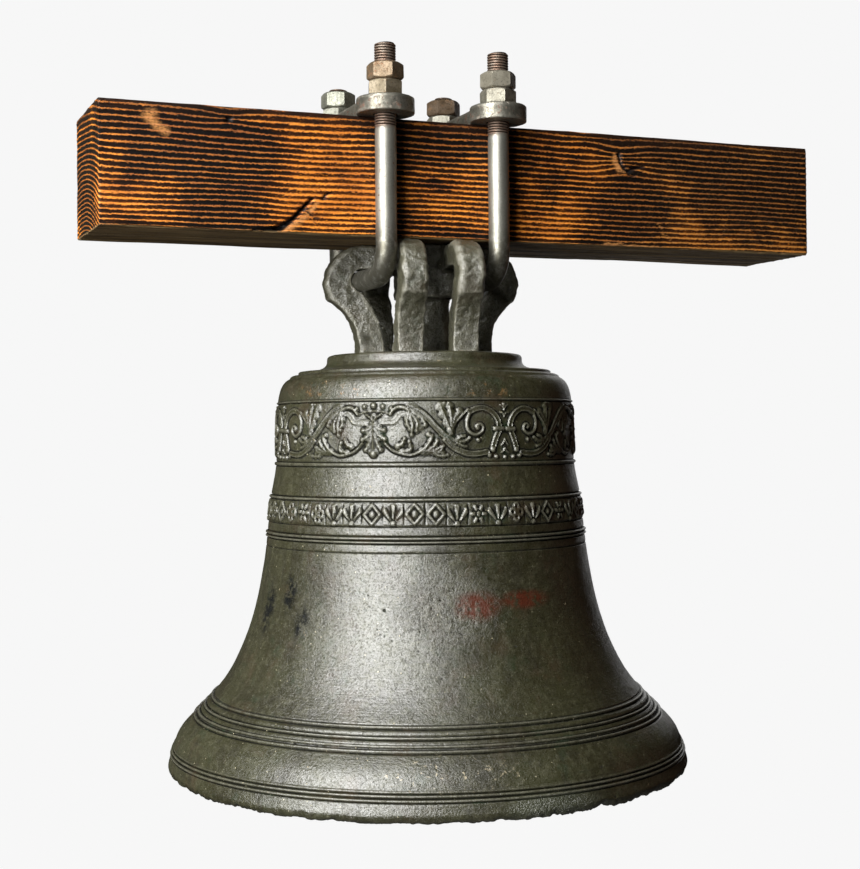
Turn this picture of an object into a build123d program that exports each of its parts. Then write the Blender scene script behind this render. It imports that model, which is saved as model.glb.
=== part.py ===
from build123d import *
import os

# A church bell hung dead from a timber beam: cast bell, canons, U-bolts, plates, nuts and clapper.

os.makedirs("parts", exist_ok=True)

# Frame: the origin is on the bell's axis, in the plane of the beam's underside.
# X runs along the beam, Y through it from front to rear, Z up. Sizes are in millimetres.

# Beam
BEAM_LEFT = -325.0
BEAM_RIGHT = 408.0
BEAM_DEPTH = 114.0
BEAM_HEIGHT = 112.0
BEAM_EDGE = 2.0

# U-bolts, M20
ROD = 20.0
LEG_Y = BEAM_DEPTH / 2 + ROD / 2 + 0.5
SADDLE_Z = -35.0
BEND = 27.0
ROD_END_CHAMFER = 1.5
U_BOLT_X = {"left": -63.5, "right": 50.5}
ROD_TOP = {"front": 177.5, "rear": 162.0}
LEG_SIDE = {"front": -1, "rear": 1}

# Clamp plates on the beam's top
PLATE = 15.0
EYE_RADIUS = 27.0
WAIST_WIDTH = 40.0
PLATE_HOLE = 22.0

# M20 nuts, two on each leg
NUT_FLATS = 30.0
NUT = 16.0
NUT_BORE = ROD + 0.2
NUT_TURN = {"left": 12.0, "right": 28.0}
LOCK_NUT_TURN = 20.0

# Bell
BELL_LIP_RADIUS = 250.0
LIP_Z = -503.0
CROWN_TOP = -106.0
CROWN_UNDERSIDE = -130.0
CROWN_STEP_RADIUS = 95.0
SHOULDER_RADIUS = 142.5
SHOULDER_Z = -150.0
INNER_SHOULDER_RADIUS = 127.5
LIP_INNER_RADIUS = 240.0

# Main raised wires round the bell: height and bead radius of each
WIRES = (
    (-209.5, 2.2),
    (-241.0, 2.2),
    (-266.0, 2.2),
    (-277.0, 2.2),
    (-434.5, 2.8),
    (-446.0, 2.4),
    (-480.0, 2.8),
)

# Canons, the six cast loops on the crown, in a crown turned a little on the bell's axis
CROWN_TURN = -10.0
CANON_WIDTH = 25.0
CANON_CHAMFER = 3.0
CANON_FOOT_INNER = 41.0
CANON_FOOT_OUTER = 67.0
CANON_THROAT = -24.0
CHAMFER_FROM = 73.5
SEAT_RADIUS = ROD / 2 + 0.3
BLOCK = 52.0
BLOCK_BOTTOM = -51.0
POST = 44.0
POST_CORNER = 9.0
# Direction in the turned crown, sideways offset and reach against the plain outline
CANONS = (
    (180.0, 0.0, 1.00),
    (0.0, 0.0, 0.94),
    (270.0, -26.5, 0.97),
    (270.0, 26.5, 0.97),
    (90.0, -18.0, 0.95),
    (90.0, 34.0, 0.97),
)

# Clapper staple in the crown
STAPLE_ROD = 16.0
PIVOT_Z = -155.0
STAPLE_LEG_X = 40.0
STAPLE_BEND = 18.0
STAPLE_TOP = -118.0

# Clapper and its strap
RUNNING_CLEARANCE = 0.05
STRAP_THICKNESS = 6.0
STRAP_WIDTH = 40.0
STRAP_INNER = STAPLE_ROD / 2 + RUNNING_CLEARANCE
STRAP_OUTER = STRAP_INNER + STRAP_THICKNESS
STRAP_LENGTH = 92.0
TONGUE_TOP = -14.0
TONGUE_WIDTH = 36.0
TONGUE_LENGTH = 80.0
CHEEK_THICKNESS = 4.0
CHEEK_TOP = -20.0
CHEEK_LENGTH = 68.0
CHEEK_CORNER = 6.0
BOLT = 10.0
BOLT_HOLE = 10.5
BOLT_FLATS = 17.0
BOLT_HEAD = 6.4
SMALL_NUT = 8.0
BOLT_END = 3.0
BOLT_DROP = {"upper": -38.0, "lower": -72.0}
BALL_RADIUS = 36.0
BALL_DROP = -355.0
FLIGHT_END = -399.0
FLIGHT_RADIUS = 13.0
SHAFT_TOP_RADIUS = 10.0
SHAFT_END_RADIUS = 14.0
NECK_BOTTOM = -102.0
BALL_JOIN_FILLET = 8.0


def bell_outline_radius(curve, height):
    """Radius of the bell's outer curve at a height, found by halving."""
    low, high = 0.0, 1.0
    for _ in range(30):
        middle = (low + high) / 2
        if (curve @ middle).Y > height:
            low = middle
        else:
            high = middle
    return (curve @ low).X


def u_bolt_line(x):
    """Centre line of one U-bolt, from its front end under the canon to its rear end."""
    return FilletPolyline(
        (x, -LEG_Y, ROD_TOP["front"]),
        (x, -LEG_Y, SADDLE_Z),
        (x, LEG_Y, SADDLE_Z),
        (x, LEG_Y, ROD_TOP["rear"]),
        radius=BEND,
    )


def turned_plane(angle, sideways):
    """Upright plane through the bell's axis, pointing at an angle and shifted sideways."""
    outward = Vector(1, 0, 0).rotate(Axis.Z, angle)
    across = Vector(0, 1, 0).rotate(Axis.Z, angle)
    return Plane(origin=across * sideways, x_dir=outward, z_dir=-across)


# ---------------------------------------------------------------- beam

with BuildPart() as beam:
    with BuildSketch(Plane.YZ.offset(BEAM_LEFT)):
        with Locations((0, BEAM_HEIGHT / 2)):
            Rectangle(BEAM_DEPTH, BEAM_HEIGHT)
    extrude(amount=BEAM_RIGHT - BEAM_LEFT)
    fillet(beam.edges().filter_by(Axis.X), BEAM_EDGE)

beam.part.label = "beam"
export_step(beam.part, "parts/beam.step")


# ---------------------------------------------------------------- U-bolts, plates and nuts

for side, bolt_x in U_BOLT_X.items():
    with BuildPart() as u_bolt:
        with BuildLine() as rod_path:
            u_bolt_line(bolt_x)
        with BuildSketch(Plane.XY.offset(ROD_TOP["front"])):
            with Locations((bolt_x, -LEG_Y)):
                Circle(ROD / 2)
        sweep(path=rod_path.line)
        chamfer(u_bolt.edges().filter_by(GeomType.CIRCLE).sort_by(Axis.Z)[-1], ROD_END_CHAMFER)
        rear_rim = u_bolt.edges().filter_by(GeomType.CIRCLE).filter_by_position(
            Axis.Z, ROD_TOP["rear"] - 0.1, ROD_TOP["rear"] + 0.1
        )
        chamfer(rear_rim, ROD_END_CHAMFER)

    u_bolt.part.label = f"u_bolt_{side}"
    export_step(u_bolt.part, f"parts/u_bolt_{side}.step")

    with BuildPart() as clamp_plate:
        with BuildSketch(Plane.XY.offset(BEAM_HEIGHT)):
            with Locations((bolt_x, 0)):
                Rectangle(WAIST_WIDTH, 2 * LEG_Y)
            with Locations((bolt_x, -LEG_Y), (bolt_x, LEG_Y)):
                Circle(EYE_RADIUS)
                Circle(PLATE_HOLE / 2, mode=Mode.SUBTRACT)
        extrude(amount=PLATE)
        chamfer(clamp_plate.faces().sort_by(Axis.Z)[-1].outer_wire().edges(), 1)

    clamp_plate.part.label = f"clamp_plate_{side}"
    export_step(clamp_plate.part, f"parts/clamp_plate_{side}.step")

    for leg, leg_side in LEG_SIDE.items():
        for level, nut_kind in enumerate(("nut", "lock_nut")):
            nut_bottom = BEAM_HEIGHT + PLATE + level * NUT
            nut_turn = NUT_TURN[side] + level * LOCK_NUT_TURN
            with BuildPart() as nut:
                with BuildSketch(Plane.XY.offset(nut_bottom)):
                    with Locations((bolt_x, leg_side * LEG_Y)):
                        RegularPolygon(NUT_FLATS / 2, 6, major_radius=False, rotation=nut_turn)
                        Circle(NUT_BORE / 2, mode=Mode.SUBTRACT)
                extrude(amount=NUT)

            nut.part.label = f"{nut_kind}_{side}_{leg}"
            export_step(nut.part, f"parts/{nut_kind}_{side}_{leg}.step")


# ---------------------------------------------------------------- clapper staple

with BuildPart() as clapper_staple:
    with BuildLine() as staple_path:
        FilletPolyline(
            (-STAPLE_LEG_X, 0, STAPLE_TOP),
            (-STAPLE_LEG_X, 0, PIVOT_Z),
            (STAPLE_LEG_X, 0, PIVOT_Z),
            (STAPLE_LEG_X, 0, STAPLE_TOP),
            radius=STAPLE_BEND,
        )
    with BuildSketch(Plane.XY.offset(STAPLE_TOP)):
        with Locations((-STAPLE_LEG_X, 0)):
            Circle(STAPLE_ROD / 2)
    sweep(path=staple_path.line)

clapper_staple.part.label = "clapper_staple"
export_step(clapper_staple.part, "parts/clapper_staple.step")


# ---------------------------------------------------------------- bell

with BuildPart() as bell:
    with BuildSketch(Plane.XZ):
        with BuildLine():
            crown_top = Line((0, CROWN_TOP), (90, CROWN_TOP))
            crown_edge = RadiusArc(crown_top @ 1, (CROWN_STEP_RADIUS, CROWN_TOP - 5), 5)
            crown_wall = Line(crown_edge @ 1, (CROWN_STEP_RADIUS, CROWN_TOP - 7))
            cavetto = RadiusArc(crown_wall @ 1, (122, -122), -24)
            fillet_band = Polyline(cavetto @ 1, (122, -124.5), (130, -126.5), (131, -128.5))
            dome = ThreePointArc(fillet_band @ 1, (138.6, -135.5), (SHOULDER_RADIUS, SHOULDER_Z))
            waist = Spline(
                dome @ 1,
                (144.8, -212),
                (151.0, -258),
                (157.0, -302),
                (168.5, -356),
                (186.4, -400),
                (212.4, -436),
                (236.4, -460),
                (248.0, -484),
                (BELL_LIP_RADIUS, -496),
                tangents=((0, -1), (0, -1)),
            )
            lip = ThreePointArc(waist @ 1, (248.2, -501), (244, LIP_Z))
            rim = Line(lip @ 1, (LIP_INNER_RADIUS, LIP_Z))
            inside = Spline(
                rim @ 1,
                (219.0, -486),
                (199.4, -460),
                (186.4, -436),
                (169.4, -400),
                (155.0, -360),
                (142.8, -300),
                (130.8, -212),
                (INNER_SHOULDER_RADIUS, SHOULDER_Z),
            )
            inner_dome = ThreePointArc(inside @ 1, (120, -136), (100, CROWN_UNDERSIDE))
            ceiling = Line(inner_dome @ 1, (0, CROWN_UNDERSIDE))
            Line(ceiling @ 1, crown_top @ 0)
        make_face()
        for height, bead in WIRES:
            with Locations((bell_outline_radius(waist, height), height)):
                Circle(bead)
    revolve(axis=Axis.Z)
    with Locations((-STAPLE_LEG_X, 0, STAPLE_TOP), (STAPLE_LEG_X, 0, STAPLE_TOP)):
        Cylinder(
            STAPLE_ROD / 2,
            STAPLE_TOP - CROWN_UNDERSIDE,
            align=(Align.CENTER, Align.CENTER, Align.MAX),
            mode=Mode.SUBTRACT,
        )

bell.part.label = "bell"
export_step(bell.part, "parts/bell.step")


# ---------------------------------------------------------------- canons

arms = []
for direction, sideways, reach in CANONS:
    arm_plane = turned_plane(direction + CROWN_TURN, sideways)
    with BuildPart() as arm:
        with BuildSketch(arm_plane):
            with BuildLine():
                arm_top = Line((0, 0), (58 * reach, 0))
                arm_shoulder = TangentArc(arm_top @ 1, (99 * reach, -36), tangent=(1, 0))
                knee = Line(arm_shoulder @ 1, (95 * reach, -52))
                outer_leg = ThreePointArc(knee @ 1, (76 * reach, -69), (CANON_FOOT_OUTER, CROWN_TOP))
                foot = Line(outer_leg @ 1, (CANON_FOOT_INNER, CROWN_TOP))
                inner_leg = ThreePointArc(foot @ 1, (46, -76), (65 * reach, -44))
                throat = ThreePointArc(inner_leg @ 1, (71 * reach, -34), (66 * reach, CANON_THROAT))
                arm_underside = Line(throat @ 1, (0, CANON_THROAT))
                Line(arm_underside @ 1, arm_top @ 0)
            make_face()
        extrude(amount=CANON_WIDTH / 2, both=True)
        side_edges = arm.faces().filter_by(arm_plane).edges()
        outer_edges = [
            edge for edge in side_edges if arm_plane.to_local_coords(edge.center()).X > CHAMFER_FROM * reach
        ]
        chamfer(outer_edges, CANON_CHAMFER)
    arms.append(arm.part)

crown_plane = turned_plane(CROWN_TURN, 0)
with BuildPart() as canons:
    add(arms)
    with BuildSketch(Plane(origin=(0, 0, BLOCK_BOTTOM), x_dir=crown_plane.x_dir, z_dir=(0, 0, 1))):
        Rectangle(BLOCK, BLOCK)
    extrude(amount=-BLOCK_BOTTOM)
    with BuildSketch(Plane(origin=(0, 0, CROWN_TOP), x_dir=crown_plane.x_dir, z_dir=(0, 0, 1))):
        RectangleRounded(POST, POST, POST_CORNER)
    extrude(amount=BLOCK_BOTTOM - CROWN_TOP)
    for bolt_x in U_BOLT_X.values():
        with BuildLine() as seat_path:
            u_bolt_line(bolt_x)
        with BuildSketch(Plane.XY.offset(ROD_TOP["front"])):
            with Locations((bolt_x, -LEG_Y)):
                Circle(SEAT_RADIUS)
        sweep(path=seat_path.line, mode=Mode.SUBTRACT)

canons.part.label = "canons"
export_step(canons.part, "parts/canons.step")


# ---------------------------------------------------------------- clapper strap, cheeks and bolts

PIVOT = Vector(0, 0, PIVOT_Z)
strap_side = Plane(origin=PIVOT, x_dir=(0, 1, 0), z_dir=(1, 0, 0))
strap_face = Plane(origin=PIVOT, x_dir=(1, 0, 0), z_dir=(0, -1, 0))

with BuildPart() as clapper_strap:
    with BuildSketch(strap_side):
        Circle(STRAP_OUTER)
        with Locations((0, -STRAP_LENGTH / 2)):
            Rectangle(2 * STRAP_OUTER, STRAP_LENGTH)
        Circle(STRAP_INNER, mode=Mode.SUBTRACT)
        with Locations((0, -STRAP_LENGTH / 2)):
            Rectangle(2 * STRAP_INNER, STRAP_LENGTH, mode=Mode.SUBTRACT)
    extrude(amount=STRAP_WIDTH / 2, both=True)
    with BuildSketch(strap_face):
        with Locations(*[(0, drop) for drop in BOLT_DROP.values()]):
            Circle(BOLT_HOLE / 2)
    extrude(amount=STRAP_OUTER, both=True, mode=Mode.SUBTRACT)

clapper_strap.part.label = "clapper_strap"
export_step(clapper_strap.part, "parts/clapper_strap.step")

for face_name, cheek_y in (("front", -STRAP_OUTER), ("rear", STRAP_OUTER + CHEEK_THICKNESS)):
    with BuildPart() as strap_cheek:
        with BuildSketch(strap_face.offset(-cheek_y)):
            with Locations((0, CHEEK_TOP - CHEEK_LENGTH / 2)):
                RectangleRounded(TONGUE_WIDTH, CHEEK_LENGTH, CHEEK_CORNER)
            with Locations(*[(0, drop) for drop in BOLT_DROP.values()]):
                Circle(BOLT_HOLE / 2, mode=Mode.SUBTRACT)
        extrude(amount=CHEEK_THICKNESS)

    strap_cheek.part.label = f"strap_cheek_{face_name}"
    export_step(strap_cheek.part, f"parts/strap_cheek_{face_name}.step")

clamped = STRAP_OUTER + CHEEK_THICKNESS
for bolt_name, drop in BOLT_DROP.items():
    with BuildPart() as strap_bolt:
        with BuildSketch(strap_face.offset(clamped)):
            with Locations((0, drop)):
                RegularPolygon(BOLT_FLATS / 2, 6, major_radius=False)
        extrude(amount=BOLT_HEAD)
        with BuildSketch(strap_face.offset(clamped)):
            with Locations((0, drop)):
                Circle(BOLT / 2)
        extrude(amount=-(2 * clamped + SMALL_NUT + BOLT_END))

    strap_bolt.part.label = f"strap_bolt_{bolt_name}"
    export_step(strap_bolt.part, f"parts/strap_bolt_{bolt_name}.step")

    with BuildPart() as strap_nut:
        with BuildSketch(strap_face.offset(-clamped - SMALL_NUT)):
            with Locations((0, drop)):
                RegularPolygon(BOLT_FLATS / 2, 6, major_radius=False, rotation=20)
                Circle(BOLT / 2 + 0.1, mode=Mode.SUBTRACT)
        extrude(amount=SMALL_NUT)

    strap_nut.part.label = f"strap_nut_{bolt_name}"
    export_step(strap_nut.part, f"parts/strap_nut_{bolt_name}.step")


# ---------------------------------------------------------------- clapper

with BuildPart() as clapper:
    with BuildSketch(strap_face):
        with BuildLine():
            ball_top = BALL_DROP + (BALL_RADIUS**2 - SHAFT_END_RADIUS**2) ** 0.5
            ball_bottom = BALL_DROP - (BALL_RADIUS**2 - FLIGHT_RADIUS**2) ** 0.5
            shaft_top = Line((0, NECK_BOTTOM), (SHAFT_TOP_RADIUS, NECK_BOTTOM))
            shaft = Line(shaft_top @ 1, (SHAFT_END_RADIUS, ball_top))
            ball = ThreePointArc(shaft @ 1, (BALL_RADIUS, BALL_DROP), (FLIGHT_RADIUS, ball_bottom))
            flight = Line(ball @ 1, (FLIGHT_RADIUS, FLIGHT_END))
            flight_end = Line(flight @ 1, (0, FLIGHT_END))
            Line(flight_end @ 1, shaft_top @ 0)
        make_face()
    revolve(axis=Axis((0, 0, 0), (0, 0, 1)))
    ball_join = clapper.edges().filter_by(GeomType.CIRCLE).group_by(Axis.Z)
    fillet(ball_join[-2], BALL_JOIN_FILLET)
    with BuildSketch(Plane.XY.offset(PIVOT_Z - TONGUE_LENGTH)):
        Rectangle(TONGUE_WIDTH, 2 * STRAP_INNER)
    with BuildSketch(Plane.XY.offset(PIVOT_Z + NECK_BOTTOM)):
        Circle(SHAFT_TOP_RADIUS)
    loft()
    with BuildSketch(strap_face):
        with Locations((0, (TONGUE_TOP - TONGUE_LENGTH) / 2)):
            Rectangle(TONGUE_WIDTH, TONGUE_TOP + TONGUE_LENGTH)
        with Locations(*[(0, drop) for drop in BOLT_DROP.values()]):
            Circle(BOLT_HOLE / 2, mode=Mode.SUBTRACT)
    extrude(amount=STRAP_INNER, both=True)

clapper.part.label = "clapper"
export_step(clapper.part, "parts/clapper.step")
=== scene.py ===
import itertools
import math

import bmesh
import bpy
import numpy as np
from mathutils import Matrix, Vector


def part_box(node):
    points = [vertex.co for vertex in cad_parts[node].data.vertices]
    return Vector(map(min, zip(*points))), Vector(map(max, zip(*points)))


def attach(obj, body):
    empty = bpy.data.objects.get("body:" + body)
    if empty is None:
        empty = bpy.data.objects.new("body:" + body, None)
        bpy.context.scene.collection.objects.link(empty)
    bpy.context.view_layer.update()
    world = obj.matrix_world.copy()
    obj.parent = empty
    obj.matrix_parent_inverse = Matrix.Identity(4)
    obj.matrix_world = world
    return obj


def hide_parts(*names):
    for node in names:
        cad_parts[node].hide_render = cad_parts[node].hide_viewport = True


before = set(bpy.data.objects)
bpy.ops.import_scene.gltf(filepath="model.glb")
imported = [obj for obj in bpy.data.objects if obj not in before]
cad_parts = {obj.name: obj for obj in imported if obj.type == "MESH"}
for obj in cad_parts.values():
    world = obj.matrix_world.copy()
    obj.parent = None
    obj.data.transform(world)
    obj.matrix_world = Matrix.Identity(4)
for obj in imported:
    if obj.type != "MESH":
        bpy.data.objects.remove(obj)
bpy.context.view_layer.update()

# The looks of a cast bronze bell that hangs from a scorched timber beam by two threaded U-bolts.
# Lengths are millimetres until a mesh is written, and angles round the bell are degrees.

MM = 0.001

# ---- sizes from the frame


def box_mm(node):
    """Lowest and highest corner of a CAD node, in millimetres."""
    low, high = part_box(node)
    return np.array(low) / MM, np.array(high) / MM


BEAM_LOW, BEAM_HIGH = box_mm("beam")
BELL_LOW, BELL_HIGH = box_mm("bell")
CROWN_TOP = BELL_HIGH[2]
LIP_Z = BELL_LOW[2]

# Angles round the bell count from its best side, which looks this far to the left of square-on to the beam
VIEW_YAW = 22.02
BELL_FRONT = -90 - VIEW_YAW

# ---- noise and curves


def lattice_value(cell, seed):
    """A repeatable random number from 0 to 1 for each lattice cell."""
    mixed = cell[:, 0] * 374761393 + cell[:, 1] * 668265263 + cell[:, 2] * 1440670441 + seed * 974634777
    mixed = mixed & 0xFFFFFFFF
    mixed = ((mixed ^ (mixed >> 13)) * 1274126177) & 0xFFFFFFFF
    return ((mixed ^ (mixed >> 16)) & 0xFFFF) / 65535.0


def smooth_noise(points, size, seed):
    """Value noise from -1 to 1, with lumps about `size` mm across."""
    scaled = points / size
    cell = np.floor(scaled).astype(np.int64)
    part = scaled - cell
    part = part * part * (3 - 2 * part)
    total = np.zeros(len(points))
    for corner in itertools.product((0, 1), repeat=3):
        weight = np.prod(np.where(corner, part, 1 - part), axis=1)
        total += weight * lattice_value(cell + np.array(corner), seed)
    return total * 2 - 1


def rough_noise(points, size, octaves, seed):
    """Several sizes of smooth noise added up, each half the size and half the height of the last."""
    total = np.zeros(len(points))
    for octave in range(octaves):
        total += smooth_noise(points, size / 2**octave, seed + octave) / 2**octave
    return total


def soft_step(value, low, high):
    """0 below low, 1 above high, and smooth between them."""
    part = np.clip((value - low) / (high - low), 0, 1)
    return part * part * (3 - 2 * part)


def dome(distance, radius=1.0):
    """A round hump: 1 at its middle and 0 from its radius outwards."""
    return np.sqrt(np.clip(1 - (distance / radius) ** 2, 0, 1))


def through(points, steps):
    """A smooth line through a few points, as a Catmull-Rom curve."""
    points = np.array(points, float)
    ends = np.vstack([2 * points[0] - points[1], points, 2 * points[-1] - points[-2]])
    line = []
    for a, b, c, d in zip(ends[:-3], ends[1:-2], ends[2:-1], ends[3:]):
        square = 2 * a - 5 * b + 4 * c - d
        cube = 3 * b - a - 3 * c + d
        for t in np.arange(steps) / steps:
            line.append(0.5 * (2 * b + (c - a) * t + square * t**2 + cube * t**3))
    line.append(points[-1])
    return np.array(line)


def bent(start, corner, end, steps):
    """A quadratic curve from start to end that leans towards a corner."""
    t = np.linspace(0, 1, steps + 1)[:, None]
    start, corner, end = (np.array(p, float) for p in (start, corner, end))
    return (1 - t) ** 2 * start + 2 * t * (1 - t) * corner + t**2 * end


def length_along(line):
    """Distance from the line's start to each of its points."""
    return np.concatenate([[0], np.cumsum(np.linalg.norm(np.diff(line, axis=0), axis=1))])


def nearest(u, v, line):
    """Distance from each (u, v) to a line, and how far along the line that is, from 0 to 1."""
    best = np.full(u.shape, 1e9)
    along = np.zeros(u.shape)
    lengths = length_along(line)
    for index in range(len(line) - 1):
        a, b = line[index], line[index + 1]
        run = b - a
        size = max(run @ run, 1e-9)
        part = np.clip(((u - a[0]) * run[0] + (v - a[1]) * run[1]) / size, 0, 1)
        distance = np.hypot(u - a[0] - part * run[0], v - a[1] - part * run[1])
        closer = distance < best
        best = np.where(closer, distance, best)
        place = (lengths[index] + part * math.sqrt(size)) / lengths[-1]
        along = np.where(closer, place, along)
    return best, along


# ---- meshes


def grid_quads(rows, columns, wrap_rows=True):
    """Faces of a grid whose columns close on themselves, and whose rows may."""
    index = np.arange(rows * columns).reshape(rows, columns)
    if wrap_rows:
        index = np.vstack([index, index[:1]])
    index = np.hstack([index, index[:, :1]])
    corners = (index[:-1, :-1], index[1:, :-1], index[1:, 1:], index[:-1, 1:])
    return np.stack(corners, axis=-1).reshape(-1, 4)


def linked(name, data):
    """A new object in the scene."""
    made = bpy.data.objects.new(name, data)
    bpy.context.scene.collection.objects.link(made)
    return made


def weld(mesh, outward):
    """Joins points that coincide and, on request, turns all faces outwards."""
    work = bmesh.new()
    work.from_mesh(mesh)
    bmesh.ops.remove_doubles(work, verts=work.verts, dist=1e-6)
    if outward:
        bmesh.ops.recalc_face_normals(work, faces=work.faces)
    work.to_mesh(mesh)
    work.free()


def add_attribute(mesh, name, values):
    """Writes a number for each point of a mesh."""
    layer = mesh.attributes.new(name, "FLOAT", "POINT")
    layer.data.foreach_set("value", np.asarray(values, np.float32).ravel())


def new_piece(name, points, quads, attributes, sharp=40.0):
    """A smooth-shaded mesh object from points in millimetres, with a number per point for each attribute."""
    mesh = bpy.data.meshes.new(name)
    mesh.from_pydata((points * MM).tolist(), [], quads.tolist())
    for key, values in attributes.items():
        add_attribute(mesh, key, values)
    weld(mesh, True)
    mesh.shade_smooth()
    mesh.set_sharp_from_angle(angle=math.radians(sharp))
    return linked(name, mesh)


def place(piece, body, node, slot, material):
    """Ties a piece to its body and its material, and hides its CAD node. The slot is not used."""
    piece.data.materials.clear()
    piece.data.materials.append(material)
    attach(piece, body)
    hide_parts(node)
    return piece


def blurred(field, sigma):
    """Gaussian blur of a grid whose columns close on themselves."""
    rows, columns = field.shape
    padded = np.pad(field, ((rows, rows), (0, 0)), mode="symmetric")
    row_wave = np.fft.fftfreq(3 * rows)[:, None]
    column_wave = np.fft.rfftfreq(columns)[None, :]
    transfer = np.exp(-2 * math.pi**2 * ((sigma * row_wave) ** 2 + (sigma * column_wave) ** 2))
    return np.fft.irfft2(np.fft.rfft2(padded) * transfer, s=padded.shape)[rows : 2 * rows]


# ---- node materials


class Finish:
    """A node material with one Principled shader, built up by short calls. Sizes are millimetres."""

    def __init__(self, name):
        self.material = bpy.data.materials.new(name)
        self.material.use_nodes = True
        self.nodes = self.material.node_tree.nodes
        self.links = self.material.node_tree.links
        self.shader = self.nodes["Principled BSDF"]
        self.place = self.nodes.new("ShaderNodeTexCoord").outputs["Object"]

    def feed(self, value, socket):
        """Links an output to a socket, or sets a plain value on it."""
        if isinstance(value, bpy.types.NodeSocket):
            self.links.new(value, socket)
        elif isinstance(value, tuple) and len(socket.default_value) == 4:
            socket.default_value = (*value, 1)
        else:
            socket.default_value = value

    def add(self, kind, inputs, **settings):
        """Adds a node with these settings, feeds its inputs and hands back its outputs."""
        node = self.nodes.new("ShaderNode" + kind)
        for key, value in settings.items():
            setattr(node, key, value)
        for key, value in inputs.items():
            self.feed(value, node.inputs[key])
        return node.outputs

    def stretched(self, x, y, z):
        """Texture space with each axis scaled, so that a pattern is drawn out along the small ones."""
        return self.add("Mapping", {"Vector": self.place, "Scale": (x, y, z)})["Vector"]

    def noise(self, size, detail, rough, seed, place=None, warp=0.0):
        """Noise from 0 to 1 with lumps about `size` mm across."""
        inputs = {"Vector": place or self.place, "W": seed, "Scale": 1 / (size * MM)}
        inputs |= {"Detail": detail, "Roughness": rough, "Distortion": warp}
        return self.add("TexNoise", inputs, noise_dimensions="4D")["Fac"]

    def cells(self, size, feature="F1"):
        """Distance to the nearest of scattered points about `size` mm apart, in that same unit."""
        inputs = {"Vector": self.place, "Scale": 1 / (size * MM)}
        return self.add("TexVoronoi", inputs, feature=feature)["Distance"]

    def attribute(self, name):
        """A number that the mesh holds at each point."""
        return self.add("Attribute", {}, attribute_name=name)["Fac"]

    def axes(self):
        """The place's X, Y and Z, in metres."""
        return self.add("SeparateXYZ", {0: self.place})

    def spread(self, value, low, high, to_low=0.0, to_high=1.0):
        """Maps low..high onto to_low..to_high, smoothly and clamped."""
        inputs = {"Value": value, "From Min": low, "From Max": high, "To Min": to_low, "To Max": to_high}
        return self.add("MapRange", inputs, interpolation_type="SMOOTHSTEP")["Result"]

    def maths(self, operation, *values):
        """One arithmetic step on one or two values."""
        return self.add("Math", dict(enumerate(values)), operation=operation)[0]

    def times(self, first, second):
        """The product of two values."""
        return self.maths("MULTIPLY", first, second)

    def plus(self, first, second):
        """The sum of two values."""
        return self.maths("ADD", first, second)

    def most(self, first, second):
        """The larger of two values."""
        return self.maths("MAXIMUM", first, second)

    def mix(self, factor, first, second):
        """A colour between first, at factor 0, and second, at factor 1."""
        return self.add("Mix", {0: factor, 6: first, 7: second}, data_type="RGBA")[2]

    def near(self, centre, reach):
        """1 at a point, falling to 0 at `reach` mm from it along each axis."""
        centre, reach = (tuple(Vector(value) * MM) for value in (centre, reach))
        shifted = self.add("VectorMath", {0: self.place, 1: centre}, operation="SUBTRACT")[0]
        scaled = self.add("VectorMath", {0: shifted, 1: reach}, operation="DIVIDE")[0]
        length = self.add("VectorMath", {0: scaled}, operation="LENGTH")["Value"]
        return self.spread(length, 1.0, 0.35)

    def bumps(self, *layers):
        """Fine surface detail: each layer is a height from 0 to 1 and what 1 stands for in mm."""
        below = {}
        for value, depth in layers:
            below["Normal"] = self.add("Bump", {"Height": value, "Distance": depth * MM} | below)["Normal"]
        self.feed(below["Normal"], self.shader.inputs["Normal"])

    def coat(self, mask, colour):
        """Lays a colour over the tone so far, as far as the mask says."""
        self.tone = self.mix(mask, self.tone, colour)

    def specular(self, level):
        """How strongly each place reflects, where that varies over the surface."""
        self.feed(level, self.shader.inputs["Specular IOR Level"])

    def finish(self, roughness, metallic=0.0):
        """Gives the shader its tone, roughness and metal share, and hands back the material."""
        self.feed(self.tone, self.shader.inputs["Base Color"])
        self.feed(roughness, self.shader.inputs["Roughness"])
        self.feed(metallic, self.shader.inputs["Metallic"])
        return self.material


# ---- bell: outline and mouldings

# The outer curve as (radius, height): flat crown, step, hollow, double fillet, dome, waist and flare.
CROWN_OUTLINE = np.vstack(
    [
        np.linspace((0, CROWN_TOP), (90, CROWN_TOP), 40),
        bent((90.5, CROWN_TOP), (95, CROWN_TOP), (95, -110.5), 6),
        bent((95, -112.5), (96, -121.2), (121.6, -121.8), 14),
        bent((122.2, -122), (123.4, -123.2), (122.4, -124.4), 5),
        bent((124, -125), (130.6, -125.4), (131, -128), 8),
        bent((131.2, -128.6), (140.45, -131.75), (142.5, -150), 20),
    ]
)
WAIST_OUTLINE = through(
    (
        (142.5, -150), (143.9, -180), (144.9, -212), (150.4, -244), (155, -288), (158.6, -312),
        (164.2, -340), (170.9, -364), (180.4, -388), (193.1, -412), (212.4, -436), (236.4, -460),
        (244.5, -476), (249.3, -492), (249.6, -497), (247.6, -501), (244, LIP_Z),
    ),
    12,
)
OUTSIDE = np.vstack([CROWN_OUTLINE, WAIST_OUTLINE[1:]])
INNER_WALL = through(
    (
        (240, LIP_Z), (219, -486), (199.4, -460), (186.4, -436), (169.4, -400), (155, -360),
        (142.8, -300), (130.8, -212), (127.5, -150),
    ),
    12,
)
INNER_SHOULDER = bent((127.3, -148), (126.5, -130.6), (100, -130), 14)
INSIDE = np.vstack([INNER_WALL, INNER_SHOULDER, np.linspace((98, -130), (0, -130), 24)])
OUTSIDE_LENGTH = length_along(OUTSIDE)
INSIDE_LENGTH = length_along(INSIDE)

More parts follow.
